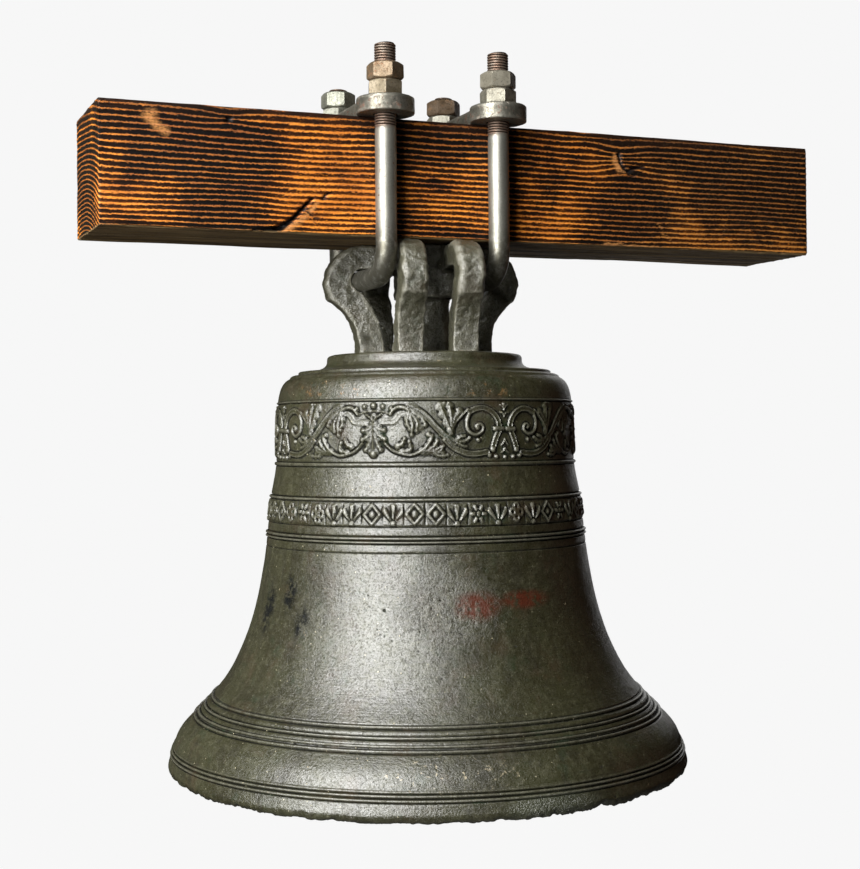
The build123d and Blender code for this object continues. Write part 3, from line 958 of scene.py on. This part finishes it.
def make_beam(material):
    """The timber beam: brushed growth rings, soft corners, gouges and sawn ends."""
    section, out = beam_section()
    points, normals = beam_surface(section, out)
    rows, columns = points.shape[:2]
    flat = points.reshape(-1, 3).copy()
    phase = ring_phase(flat)
    line = np.exp(-(((phase % 1 - 0.5) / LATEWOOD) ** 2))
    relief = 0.42 * line - 0.42 + 0.4 * rough_noise(flat * (0.2, 1, 1), 24, 2, 55) - 0.3
    relief += 0.12 * rough_noise(flat * (0.08, 1, 1), 2.4, 2, 56)
    depths, scar, pale = beam_marks(flat, normals)
    corner = (np.abs(out[:, 0]) > 0.1) & (np.abs(out[:, 1]) > 0.1)
    nicks = np.clip(rough_noise(flat, 13, 2, 58) - 0.35, 0, 1) * np.tile(corner, rows) * 2.6
    flat += normals * (relief - depths - nicks)[:, None]
    quads = grid_quads(rows, columns, wrap_rows=False)
    piece = new_piece("timber_beam", flat, quads, {"ring": phase, "scar": scar, "pale": pale}, sharp=70)
    return place(piece, "headstock", "beam", "timber", material)


# ---- U-bolts and nuts

ROD = 20.0
ROD_SIDES = 44
THREAD_PITCH = 2.5
THREAD_DEPTH = 1.25
THREAD_STEPS = 8
THREAD_FOOT = 100.0
ROD_BEND = 27.0
ROD_END = 1.6
REAR_ROD_SHOWS = 3.0


def rod_line(x, leg_y, front_top, rear_top, saddle):
    """Centre line of a U-bolt with close steps on its threads: points and distance from the front end."""
    step = THREAD_PITCH / THREAD_STEPS
    bend_top = saddle + ROD_BEND
    front = [(-leg_y, z) for z in np.arange(front_top, THREAD_FOOT, -step)]
    front += [(-leg_y, z) for z in spaced(THREAD_FOOT, bend_top, 3.0)]
    turns = spaced(math.pi, 1.5 * math.pi, 0.09)
    first = [(-leg_y + ROD_BEND * (1 + math.cos(t)), bend_top + ROD_BEND * math.sin(t)) for t in turns]
    flat = [(y, saddle) for y in spaced(-leg_y + ROD_BEND, leg_y - ROD_BEND, 3.0)]
    second = [(-y, z) for y, z in reversed(first)]
    rear = [(leg_y, z) for z in spaced(bend_top, THREAD_FOOT, 3.0)]
    rear += [(leg_y, z) for z in np.arange(THREAD_FOOT, rear_top, step)] + [(leg_y, rear_top)]
    line = np.array(front + first + flat + second + rear)
    return np.column_stack([np.full(len(line), x), line])


def make_u_bolt(side, material):
    """A round steel rod bent to a U, with rolled threads on both legs."""
    low, high = box_mm(f"u_bolt_{side}")
    x, leg_y = (low[0] + high[0]) / 2, high[1] - ROD / 2
    rear_top = box_mm(f"lock_nut_{side}_rear")[1][2] + REAR_ROD_SHOWS
    line = rod_line(x, leg_y, high[2], rear_top, low[2] + ROD / 2)
    run = np.gradient(line, axis=0)
    run /= np.linalg.norm(run, axis=1)[:, None]
    along = length_along(line)
    across = np.cross(run, (1.0, 0, 0))
    turn = np.linspace(0, 2 * math.pi, ROD_SIDES, endpoint=False)
    cosine, sine = np.cos(turn)[None, :, None], np.sin(turn)[None, :, None]
    ring = cosine * np.array((1.0, 0, 0)) + sine * across[:, None]

    threaded = soft_step(line[:, 2], THREAD_FOOT - 1.5, THREAD_FOOT + 1.5)
    phase = (along[:, None] / THREAD_PITCH + turn[None] / (2 * math.pi)) % 1
    groove = soft_step(np.abs(phase - 0.5), 0.30, 0.08) * THREAD_DEPTH
    from_end = np.minimum(along, along[-1] - along)
    radius = ROD / 2 - np.clip(ROD_END - from_end, 0, ROD_END)[:, None] - groove * threaded[:, None]
    flat = (line[:, None] + ring * radius[:, :, None]).reshape(-1, 3)
    dents = 0.10 * rough_noise(flat, 9, 3, 61) + 0.05 * rough_noise(flat, 2.2, 2, 62)
    radius = radius + (dents.reshape(radius.shape) - 0.05) * (1 - 0.6 * threaded[:, None])
    points = line[:, None] + ring * radius[:, :, None]
    start, end = (np.broadcast_to(tip, (1, ROD_SIDES, 3)) for tip in (line[0], line[-1]))
    points = np.concatenate([start, points, end])
    tip_wear = np.full((1, ROD_SIDES), 0.5)
    wear = np.vstack([tip_wear, 0.62 - groove * threaded[:, None] * 0.45, tip_wear])
    thread_share = np.concatenate([[1], threaded, [1]])[:, None] * np.ones((1, ROD_SIDES))
    quads = grid_quads(len(points), ROD_SIDES, wrap_rows=False)
    attributes = {"wear": wear, "thread": thread_share}
    piece = new_piece(f"threaded_rod_{side}", points.reshape(-1, 3), quads, attributes, sharp=60)
    return place(piece, "headstock", f"u_bolt_{side}", "rod_steel", material)


NUT_FLATS = 30.0
NUT_CROWN = 27.5
NUT_BORE = 20.4
NUT_SIDES = 180
NUT_BLEND = 0.45
COUNTERSINK = 1.2
CHAMFER_SLOPE = math.tan(math.radians(62))
# Depths below a nut's face at which its outside has rows, down to the plain part
NUT_END_ROWS = np.array([0.0, 0.35, 0.7, 1.1, 1.5, 2.0, 2.6, 3.3, 4.2])


def nut_profile(turn, high):
    """A nut's outside: hexagon cut by a cone at both ends, as radii, depths and distances to the end."""
    sixth = math.pi / 3
    hexagon = NUT_FLATS / 2 / np.cos(turn % sixth - sixth / 2)
    depth = np.concatenate([NUT_END_ROWS, np.linspace(5.6, high - 5.6, 5), (high - NUT_END_ROWS)[::-1]])
    to_end = np.minimum(depth, high - depth)
    cone = NUT_CROWN / 2 + to_end * CHAMFER_SLOPE
    outer = -NUT_BLEND * np.logaddexp(-hexagon[None] / NUT_BLEND, -cone[:, None] / NUT_BLEND)
    return outer, depth, to_end


def make_nut(node, material, seed):
    """A forged hexagon nut with worn corners, turned chamfers on both faces and a countersunk bore."""
    low, high = box_mm(node)
    centre = (low + high) / 2
    verts = np.array([v.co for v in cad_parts[node].data.vertices]) / MM - centre
    corner = verts[np.argmax(np.hypot(verts[:, 0], verts[:, 1]))]
    corner_turn = math.atan2(corner[1], corner[0])
    turn = np.linspace(0, 2 * math.pi, NUT_SIDES, endpoint=False) + corner_turn
    outer, depth, to_end = nut_profile(turn - corner_turn, high[2] - low[2])
    bore = NUT_BORE / 2 + np.array([COUNTERSINK, 0, 0, COUNTERSINK])
    bore_z = np.array([low[2], low[2] + COUNTERSINK, high[2] - COUNTERSINK, high[2]])
    radius = np.vstack([outer, np.repeat(bore[:, None], NUT_SIDES, axis=1)])
    z = np.concatenate([high[2] - depth, bore_z])
    x = centre[0] + radius * np.cos(turn)
    y = centre[1] + radius * np.sin(turn)
    flat = np.stack([x, y, np.broadcast_to(z[:, None], x.shape)], axis=-1).reshape(-1, 3)
    knocks = np.clip(rough_noise(flat, 4, 2, seed + 5) - 0.7, 0, 1)
    dents = 0.10 * rough_noise(flat, 7, 3, seed) - 0.35 * knocks
    dents[outer.size :] = 0
    away = np.stack([np.cos(turn), np.sin(turn), np.zeros(NUT_SIDES)], axis=-1)
    flat += np.tile(away, (len(radius), 1)) * dents[:, None]
    outer_wear = 0.5 + 0.12 * (outer - NUT_FLATS / 2) - 0.25 * (to_end[:, None] < 0.2)
    wear = np.vstack([outer_wear, np.full((len(bore), NUT_SIDES), 0.2)])
    quads = grid_quads(len(radius), NUT_SIDES)
    piece = new_piece("hex_" + node, flat, quads, {"wear": wear}, sharp=50)
    return place(piece, "headstock", node, "nut_steel", material)


# ---- materials

BRONZE_METAL = 0.12
BRONZE_SHINE = 2.15


def bronze_finish(name, grain):
    """Old bell bronze: a thin olive patina with a waxy shine, darker in hollows from dirt and painted shade,
    and lighter on edges from rubbing and a painted highlight.

    Hands back the finish, its roughness, its specular level and its bump layers, for more marks.
    """
    f = Finish(name)
    wear = f.attribute("wear")
    cloud = f.noise(55, 5, 0.6, seed=1.0)
    mottle = f.noise(5.5, 6, 0.7, seed=2.0)
    grit = f.noise(1.7, 3, 0.7, seed=7.0)
    turned = f.noise(1.5, 3, 0.6, place=f.stretched(0.03, 0.03, 1), seed=5.0)
    streaks = f.noise(13, 5, 0.65, place=f.stretched(1, 1, 0.14), seed=3.0)
    f.tone = f.mix(f.spread(cloud, 0.35, 0.68), (0.024, 0.022, 0.0075), (0.040, 0.040, 0.0155))
    f.coat(f.spread(mottle, 0.45, 0.72, 0, 0.7), (0.076, 0.073, 0.034))
    f.coat(f.spread(streaks, 0.48, 0.70, 0, 0.65), (0.018, 0.016, 0.007))
    f.coat(f.spread(turned, 0.50, 0.72, 0, 0.35), (0.017, 0.016, 0.009))
    f.coat(f.spread(grit, 0.54, 0.72, 0, 0.70), (0.010, 0.010, 0.005))
    # Near-black in the hollows beside the relief: patina dirt, and painted shade where the hollows lie in
    # shadow.
    hollow = f.spread(wear, 0.45, 0.20)
    f.coat(f.times(hollow, 0.92), (0.004, 0.004, 0.0025))
    # Lighter on ridges and edges: rubbed metal, and a painted highlight along them.
    ridge = f.times(f.spread(wear, 0.58, 1.0), f.spread(mottle, 0.3, 0.6, 0.4, 1.0))
    f.coat(f.times(ridge, 0.5), (0.20, 0.195, 0.15))
    dust = f.spread(f.noise(2.6, 5, 0.75, seed=4.0), 0.61, 0.70, 0, 0.7)
    f.coat(dust, (0.25, 0.235, 0.150))
    specks = f.times(f.spread(f.cells(8), 0.085, 0.045), f.spread(cloud, 0.42, 0.56))
    f.coat(specks, (0.48, 0.43, 0.28))
    flakes = f.spread(f.noise(7, 4, 0.6, warp=1.5, seed=12.0), 0.705, 0.725, 0, 0.75)
    f.coat(flakes, (0.34, 0.27, 0.155))
    green = f.times(f.spread(f.noise(24, 5, 0.7, seed=6.0), 0.54, 0.70), f.spread(wear, 0.64, 0.42))
    f.coat(f.times(green, 0.6), (0.022, 0.040, 0.018))
    brown = f.spread(f.noise(38, 5, 0.7, seed=13.0), 0.52, 0.70, 0, 0.55)
    f.coat(brown, (0.052, 0.034, 0.016))
    chalky = f.times(f.most(dust, flakes), 0.3)
    matt = f.most(f.times(hollow, 0.30), chalky)
    rough = f.plus(f.spread(mottle, 0.3, 0.75, 0.33, 0.48), matt)
    f.shader.inputs["IOR"].default_value = BRONZE_SHINE
    shine = f.times(f.spread(wear, 0.16, 0.44, 0.05, 0.52), f.spread(grit, 0.66, 0.44, 0.40, 1.0))
    return f, rough, shine, [(grit, grain), (mottle, 0.50), (turned, 0.32)]


def bell_finish():
    """The bell's bronze, with its stains where they are on the bell."""
    f, rough, shine, relief = bronze_finish("bell_bronze", 0.50)
    blotch = f.noise(9, 6, 0.75, seed=8.0)
    for at, reach in (((16, -334), (28, 30, 17)), ((33, -330), (34, 36, 11))):
        red = f.times(stain(f, at, reach), f.spread(blotch, 0.36, 0.54))
        f.coat(f.times(red, 0.75), (0.098, 0.017, 0.008))
        shine = f.times(shine, f.spread(red, 0, 1, 1, 0.35))
    for at, reach in (((-44, -140), (30, 30, 9)), ((-28, -143), (26, 26, 8)), ((24, -144), (30, 30, 8))):
        scab = f.times(stain(f, at, reach), f.spread(blotch, 0.54, 0.60))
        f.coat(f.times(scab, 0.7), (0.24, 0.135, 0.050))
    for at, reach in (((-50, -326), (14, 14, 26)), ((-42, -352), (12, 12, 22)), ((-62, -344), (16, 16, 40))):
        smudge = f.times(stain(f, at, reach), f.spread(f.noise(8, 5, 0.7, seed=9.0), 0.40, 0.56))
        f.coat(f.times(smudge, 0.95), (0.004, 0.005, 0.006))
        shine = f.times(shine, f.spread(smudge, 0, 1, 1, 0.3))
    chalk = f.spread(f.noise(3.4, 6, 0.8, seed=10.0), 0.5, 0.66)
    pale = f.times(stain(f, (2, -345), (64, 66, 40)), chalk)
    f.coat(f.times(pale, 0.4), (0.26, 0.25, 0.20))
    crust = f.spread(f.noise(6, 4, 0.65, warp=0.8, seed=14.0), 0.60, 0.63)
    chips = f.times(stain(f, (4, -464), (80, 80, 18)), crust)
    f.coat(f.times(chips, 0.8), (0.42, 0.36, 0.24))
    worms = f.noise(3.6, 3, 0.6, warp=2.2, seed=15.0)
    worn = f.times(worms, stain(f, (8, -336), (70, 70, 46)))
    scaly = f.times(worms, stain(f, (26, -493), (62, 62, 15)))
    f.coat(f.times(stain(f, (26, -493), (62, 62, 15)), 0.5), (0.070, 0.080, 0.050))
    f.bumps((worn, 1.0), (scaly, 1.4), *relief)
    f.specular(shine)
    return f.finish(rough, BRONZE_METAL)


def canon_finish():
    """The canons' bronze: duller and rougher, with a paler tone painted on as light, and lighter edges from
    rubbing and a painted highlight.
    """
    f, rough, shine, relief = bronze_finish("canon_bronze", 0.95)
    # Painted light: a paler tone over the whole canons, so they read brighter than the bell's bronze.
    f.coat(0.25, (0.150, 0.142, 0.098))
    # Lighter edges: rubbed metal, and a painted highlight along them.
    f.coat(f.spread(f.attribute("wear"), 0.66, 0.92, 0, 0.35), (0.22, 0.21, 0.16))
    f.bumps(*relief)
    f.specular(shine)
    return f.finish(rough, BRONZE_METAL)


def stain(f, at, reach):
    """A soft spot on the bell's outside, at an angle from its front and a height."""
    angle, height = at
    radius = np.interp(-height, -OUTSIDE[:, 1], OUTSIDE[:, 0])
    turn = math.radians(angle + BELL_FRONT)
    return f.near((radius * math.cos(turn), radius * math.sin(turn), height), reach)


def steel_finish(name, base, rust, amount, seed, metallic=0.8, rough=(0.34, 0.52)):
    """Weathered steel: a base tone with rust in its hollows, bright edges and freckles."""
    f = Finish(name)
    wear = f.attribute("wear")
    cloud = f.noise(14, 5, 0.65, seed=seed)
    grit = f.noise(1.8, 5, 0.7, seed=seed + 1)
    bright = tuple(min(c * 1.45 + 0.05, 1) for c in base)
    dark = tuple(c * 0.45 for c in base)
    f.tone = f.mix(f.spread(cloud, 0.35, 0.7), base, bright)
    f.coat(f.spread(grit, 0.48, 0.66, 0, 0.75), dark)
    spots = f.spread(f.noise(4.5, 6, 0.75, seed=seed + 2), 0.74 - 0.36 * amount, 0.84 - 0.36 * amount)
    freckles = f.spread(f.cells(5.5), 0.16, 0.06)
    rusty = f.most(f.times(spots, 0.85), f.times(freckles, 0.5))
    f.coat(rusty, rust)
    f.coat(f.spread(wear, 0.42, 0.12), tuple(c * 0.35 for c in rust))
    f.coat(f.spread(wear, 0.62, 0.90, 0, 0.6), bright)
    roughness = f.spread(grit, 0.3, 0.7, *rough)
    roughness = f.plus(roughness, f.times(rusty, 0.3))
    shine = f.spread(rusty, 0.0, 1.0, metallic, 0.15)
    f.bumps((grit, 0.10), (cloud, 0.12), (rusty, 0.10))
    return f.finish(roughness, shine)


def rod_finish():
    """Satin grey rod steel with rust freckles, brown threads and olive dirt on the bends."""
    f = Finish("rod_steel")
    thread = f.attribute("thread")
    wear = f.attribute("wear")
    z = f.axes()["Z"]
    cloud = f.noise(18, 5, 0.65, place=f.stretched(1, 1, 0.4), seed=21.0)
    grit = f.noise(2.0, 5, 0.75, seed=22.0)
    f.tone = f.mix(f.spread(cloud, 0.32, 0.7), (0.27, 0.265, 0.225), (0.40, 0.39, 0.34))
    f.coat(f.spread(grit, 0.50, 0.74, 0, 0.55), (0.16, 0.15, 0.12))
    freckles = f.times(f.spread(f.cells(6.5), 0.15, 0.07), f.spread(cloud, 0.4, 0.6))
    f.coat(freckles, (0.20, 0.075, 0.030))
    bend = f.times(f.spread(z, 0.022, -0.014), f.spread(f.noise(8, 5, 0.7, seed=23.0), 0.30, 0.56))
    f.coat(f.times(bend, 0.85), (0.105, 0.098, 0.070))
    brown = f.times(thread, f.spread(f.noise(9, 4, 0.6, seed=24.0), 0.25, 0.6, 0.35, 1.0))
    f.coat(f.times(brown, 0.75), (0.23, 0.125, 0.080))
    f.coat(f.times(thread, f.spread(wear, 0.5, 0.15)), (0.040, 0.026, 0.018))
    roughness = f.plus(f.spread(grit, 0.3, 0.7, 0.38, 0.54), f.times(thread, 0.12))
    f.bumps((grit, 0.20), (cloud, 0.2))
    return f.finish(roughness, 0.85)


def charring(f, x, cloud, patch):
    """How charred the timber is: most in a band on the left, least beside the left U-bolt."""
    left_burn = f.times(f.spread(x, -0.150, -0.225), f.spread(x, -0.330, -0.262))
    burn = f.plus(f.spread(cloud, 0.34, 0.58, 0.55, 1.1), f.times(left_burn, 0.6))
    burn = f.maths("SUBTRACT", burn, f.times(f.near((-112, -57, 52), (70, 40, 66)), 0.60))
    burn = f.maths("SUBTRACT", burn, f.times(f.near((-285, -57, 40), (60, 40, 120)), 0.35))
    burn = f.plus(burn, f.spread(patch, 0.50, 0.70, -0.15, 0.25))
    return f.spread(burn, 0.0, 1.0)


def latewood(f, burn, fleck):
    """1 on the hard lines of the growth rings, which are narrower where the timber is charred."""
    phase = f.maths("FRACT", f.plus(f.attribute("ring"), f.maths("SUBTRACT", fleck, 0.5)))
    widened = f.plus(phase, f.spread(burn, 0.0, 1.0, 0.24, 0.0))
    return f.times(f.spread(widened, 0.40, 0.54), f.spread(phase, 0.74, 0.64))


def ring_tones(f, x, burn, patch, fibre, fleck):
    """The colours between the growth rings' hard lines, and on them."""
    early = f.mix(burn, (0.055, 0.015, 0.003), (0.0035, 0.0028, 0.0022))
    early = f.mix(f.spread(fibre, 0.46, 0.66, 0, 0.85), early, (0.006, 0.003, 0.002))
    glow = f.mix(f.spread(patch, 0.34, 0.66), (0.95, 0.315, 0.034), (0.60, 0.175, 0.019))
    glow = f.mix(f.times(f.spread(x, 0.09, 0.26), 0.75), glow, (0.46, 0.190, 0.036))
    glow = f.mix(f.spread(burn, 0.80, 1.0, 0, 0.55), glow, (0.17, 0.045, 0.009))
    glow = f.mix(f.spread(fibre, 0.52, 0.72, 0, 0.6), glow, (0.060, 0.018, 0.005))
    glow = f.mix(f.spread(fleck, 0.50, 0.36, 0, 0.65), glow, (0.130, 0.036, 0.006))
    return early, glow


def timber_finish():
    """Brushed, scorched, oiled softwood: orange latewood lines on charred wood, brown-grey underneath."""
    f = Finish("scorched_timber")
    axes = f.axes()
    x, z = axes["X"], axes["Z"]
    fibre = f.noise(1.0, 4, 0.75, place=f.stretched(0.045, 1, 1), seed=41.0)
    fleck = f.noise(1.3, 4, 0.8, place=f.stretched(0.45, 1, 1), seed=42.0)
    cloud = f.noise(70, 4, 0.6, place=f.stretched(0.7, 1, 1.2), seed=43.0)
    patch = f.noise(24, 5, 0.65, place=f.stretched(0.55, 1, 1.3), seed=44.0)
    burn = charring(f, x, cloud, patch)
    late = latewood(f, burn, fleck)
    f.tone = f.mix(late, *ring_tones(f, x, burn, patch, fibre, fleck))
    ember = f.times(f.spread(fleck, 0.55, 0.66), f.spread(burn, 0.85, 0.25))
    f.coat(f.times(ember, 0.75), (0.62, 0.200, 0.026))
    soot = f.times(f.spread(z, 0.096, 0.111), f.spread(cloud, 0.3, 0.6, 0.35, 1.0))
    f.coat(f.times(soot, 0.6), (0.022, 0.009, 0.004))
    dust = f.times(f.spread(x, 0.12, 0.30), f.spread(f.noise(2.4, 5, 0.8, seed=45.0), 0.52, 0.72))
    f.coat(f.times(dust, 0.28), (0.33, 0.20, 0.10))
    ash = f.times(f.spread(f.noise(2.2, 3, 0.6, seed=46.0), 0.70, 0.75), 0.5)
    f.coat(ash, (0.20, 0.19, 0.17))

    dull = f.noise(9, 4, 0.6, place=f.stretched(0.06, 1, 1), seed=47.0)
    grey = f.mix(f.spread(dull, 0.36, 0.64), (0.078, 0.048, 0.019), (0.25, 0.168, 0.075))
    grey = f.mix(f.spread(fibre, 0.50, 0.72, 0, 0.6), grey, (0.028, 0.020, 0.012))
    under = f.spread(z, 0.0030, 0.0008)
    f.coat(under, grey)
    f.coat(f.times(f.spread(z, 0.1105, 0.1125), 0.55), (0.030, 0.014, 0.007))
    bare = f.times(f.attribute("pale"), f.spread(fleck, 0.36, 0.60, 0.15, 1.0))
    f.coat(f.times(bare, 0.85), f.mix(fibre, (0.42, 0.150, 0.035), (0.72, 0.36, 0.13)))
    # Painted shade: the gouges are near-black inside.
    f.coat(f.attribute("scar"), (0.007, 0.006, 0.006))
    sawn = f.spread(f.maths("ABSOLUTE", x), BEAM_HIGH[0] * MM - 0.0014, BEAM_HIGH[0] * MM - 0.0008)
    f.coat(f.times(sawn, 0.8), f.mix(late, (0.030, 0.016, 0.009), (0.085, 0.040, 0.018)))
    gloss = f.spread(fibre, 0.3, 0.7, 0.32, 0.55)
    gloss = f.plus(gloss, f.times(f.most(under, sawn), 0.3))
    f.specular(f.spread(late, 0.0, 1.0, 0.16, 0.5))
    f.bumps((fibre, 0.30), (fleck, 0.25), (late, 0.15))
    return f.finish(gloss)


def leather_finish():
    """Thick harness leather: pebbled grain, waxed and scuffed along its edges."""
    f = Finish("waxed_leather")
    wear = f.attribute("wear")
    grain = f.cells(1.6, "SMOOTH_F1")
    cloud = f.noise(22, 4, 0.6, seed=71.0)
    f.tone = f.mix(f.spread(cloud, 0.35, 0.7), (0.060, 0.028, 0.014), (0.125, 0.060, 0.030))
    f.coat(f.spread(wear, 0.56, 0.85, 0, 0.7), (0.26, 0.145, 0.078))
    f.coat(f.spread(grain, 0.45, 0.15, 0, 0.35), (0.030, 0.014, 0.008))
    f.bumps((grain, 0.30), (cloud, 0.25))
    return f.finish(f.spread(cloud, 0.3, 0.7, 0.42, 0.6))


# ---- the object

bell_bronze = bell_finish()
for slice_name, *slice_sizes in SLICES:
    bell_slice(slice_name, *slice_sizes, bell_bronze)

CANON_LUMPS = ((30, 0.5, 101), (10, 0.8, 102), (4.4, 0.52, 103))
weathered("canons", 1.35, 5, CANON_LUMPS, "headstock", "bronze", canon_finish(), 0.75)

make_beam(timber_finish())

rod_steel = rod_finish()
for side in ("left", "right"):
    make_u_bolt(side, rod_steel)

plate_steel = steel_finish("plate_steel", (0.165, 0.156, 0.124), (0.120, 0.052, 0.028), 0.60, 81.0)
PLATE_LUMPS = ((16, 0.22, 111), (3.5, 0.10, 112))
for side in ("left", "right"):
    weathered(f"clamp_plate_{side}", 1.0, 4, PLATE_LUMPS, "headstock", "plate_steel", plate_steel)

# Each nut has its own colour: base tone, rust tone and how rusty it is.
NUT_TONES = {
    "nut_left_front": ((0.140, 0.112, 0.068), (0.25, 0.135, 0.060), 0.45),
    "lock_nut_left_front": ((0.155, 0.108, 0.060), (0.27, 0.130, 0.055), 0.6),
    "nut_left_rear": ((0.17, 0.170, 0.132), (0.20, 0.14, 0.09), 0.1),
    "lock_nut_left_rear": ((0.18, 0.182, 0.142), (0.20, 0.15, 0.09), 0.1),
    "nut_right_front": ((0.165, 0.153, 0.115), (0.24, 0.16, 0.09), 0.15),
    "lock_nut_right_front": ((0.200, 0.182, 0.135), (0.21, 0.13, 0.075), 0.25),
    "nut_right_rear": ((0.20, 0.19, 0.15), (0.20, 0.12, 0.07), 0.3),
    "lock_nut_right_rear": ((0.105, 0.068, 0.036), (0.15, 0.080, 0.034), 0.6),
}
for index, (nut_node, (base, rust, amount)) in enumerate(NUT_TONES.items()):
    finish_seed = 91.0 + 3 * index
    nut_steel = steel_finish(f"steel_of_{nut_node}", base, rust, amount, finish_seed, 0.55, (0.36, 0.56))
    make_nut(nut_node, nut_steel, 120 + 10 * index)

forged_iron = steel_finish(
    "forged_iron", (0.105, 0.095, 0.080), (0.115, 0.052, 0.026), 0.75, 61.0, 0.7, (0.42, 0.62)
)
IRON_LUMPS = ((18, 0.30, 131), (5, 0.16, 132))
BOLT_LUMPS = ((6, 0.08, 141),)
weathered("clapper_staple", 1.2, 4, IRON_LUMPS[1:], "headstock", "wrought_iron", forged_iron)
weathered("clapper", 1.7, 4, IRON_LUMPS, "clapper", "wrought_iron", forged_iron)
weathered("clapper_strap", 1.1, 5, ((14, 0.16, 151),), "clapper", "strap_leather", leather_finish())
for face in ("front", "rear"):
    weathered(f"strap_cheek_{face}", 0.8, 4, IRON_LUMPS[1:], "clapper", "wrought_iron", forged_iron)
strap_steel = steel_finish("strap_bolt_steel", (0.24, 0.22, 0.18), (0.16, 0.075, 0.04), 0.5, 161.0)
for level, kind in itertools.product(("upper", "lower"), ("bolt", "nut")):
    weathered(f"strap_{kind}_{level}", 0.5, 3, BOLT_LUMPS, "clapper", "nut_steel", strap_steel)

# ---- floor, light and camera

FLOOR_Z = -3.2
FLOOR_RADIUS = 60.0
FLOOR_GLOW = 0.998
BACKDROP = (0.93, 0.93, 0.93)
AIM = Vector((0, 0, -0.2))


def pale_floor():
    """A wide studio floor, well below the bell: near-white to the camera and mid grey to the light."""
    work = bmesh.new()
    bmesh.ops.create_circle(work, cap_ends=True, segments=96, radius=FLOOR_RADIUS)
    bmesh.ops.translate(work, verts=work.verts, vec=(0, 0, FLOOR_Z))
    mesh = bpy.data.meshes.new("studio_floor")
    work.to_mesh(mesh)
    work.free()
    floor = linked("studio_floor", mesh)
    f = Finish("floor_paint")
    seen = f.nodes.new("ShaderNodeLightPath").outputs["Is Camera Ray"]
    f.feed(f.mix(seen, (0.0, 0.0, 0.0), BACKDROP), f.shader.inputs["Emission Color"])
    f.shader.inputs["Emission Strength"].default_value = FLOOR_GLOW
    f.tone = f.mix(f.noise(900, 2, 0.5, seed=201.0), (0.30, 0.30, 0.29), (0.34, 0.34, 0.33))
    f.coat(seen, (0.05, 0.05, 0.05))
    floor.data.materials.append(f.finish(0.9))


def softbox(name, angle, distance, height, size, power, colour=(1, 1, 1)):
    """A rectangular soft light at an angle round the bell from its front, aimed at the bell."""
    turn = math.radians(BELL_FRONT + angle)
    spot = Vector((distance * math.cos(turn), distance * math.sin(turn), height))
    data = bpy.data.lights.new(name, "AREA")
    data.shape = "RECTANGLE"
    data.size, data.size_y = size
    data.energy = power
    data.color = colour
    light = linked(name, data)
    light.location = spot
    light.rotation_euler = (AIM - spot).to_track_quat("-Z", "Y").to_euler()


def studio_world(seen, around):
    """Near-white behind the object, and a dimmer even light on it."""
    world = bpy.data.worlds.new("studio")
    bpy.context.scene.world = world
    world.use_nodes = True
    nodes, links = world.node_tree.nodes, world.node_tree.links
    path = nodes.new("ShaderNodeLightPath")
    mix = nodes.new("ShaderNodeMix")
    mix.data_type = "RGBA"
    mix.inputs[6].default_value = (*around, 1)
    mix.inputs[7].default_value = (*seen, 1)
    links.new(path.outputs["Is Camera Ray"], mix.inputs[0])
    links.new(mix.outputs[2], nodes["Background"].inputs["Color"])


CAMERA_DISTANCE = 1.5212
CAMERA_ASIDE = 0.00486
CAMERA_HEIGHT = -0.18467
CAMERA_TILT = 90.07
CAMERA_ROLL = -0.505
LENS = 65.25


def studio_camera():
    """The camera, level with the bell's frieze and round to the left of square-on to the beam."""
    yaw = math.radians(VIEW_YAW)
    data = bpy.data.cameras.new("camera")
    data.sensor_fit = "HORIZONTAL"
    data.sensor_width = 36
    data.lens = LENS
    camera = linked("camera", data)
    towards = Vector((-math.sin(yaw), -math.cos(yaw), 0))
    aside = Vector((math.cos(yaw), -math.sin(yaw), 0))
    spot = towards * CAMERA_DISTANCE + aside * CAMERA_ASIDE + Vector((0, 0, CAMERA_HEIGHT))
    turn = (
        Matrix.Rotation(-yaw, 4, "Z")
        @ Matrix.Rotation(math.radians(CAMERA_TILT), 4, "X")
        @ Matrix.Rotation(math.radians(CAMERA_ROLL), 4, "Z")
    )
    camera.matrix_world = Matrix.Translation(spot) @ turn
    bpy.context.scene.camera = camera


pale_floor()
softbox("key_left", -34, 1.9, 0.45, (1.25, 2.3), 114)
softbox("left_fill", -128, 2.2, 0.0, (0.7, 1.7), 1.0, (1.0, 0.97, 0.80))
softbox("warm_right", 105, 2.2, -0.1, (0.5, 1.8), 0.5, (1.0, 0.45, 0.28))
softbox("top_fill", -35, 1.3, 2.1, (1.2, 0.9), 12.5)
softbox("back_fill", 168, 2.3, 0.3, (1.6, 1.6), 9)
studio_world(BACKDROP, (0.015, 0.013, 0.009))
studio_camera()
bpy.context.scene.view_settings.view_transform = "Standard"
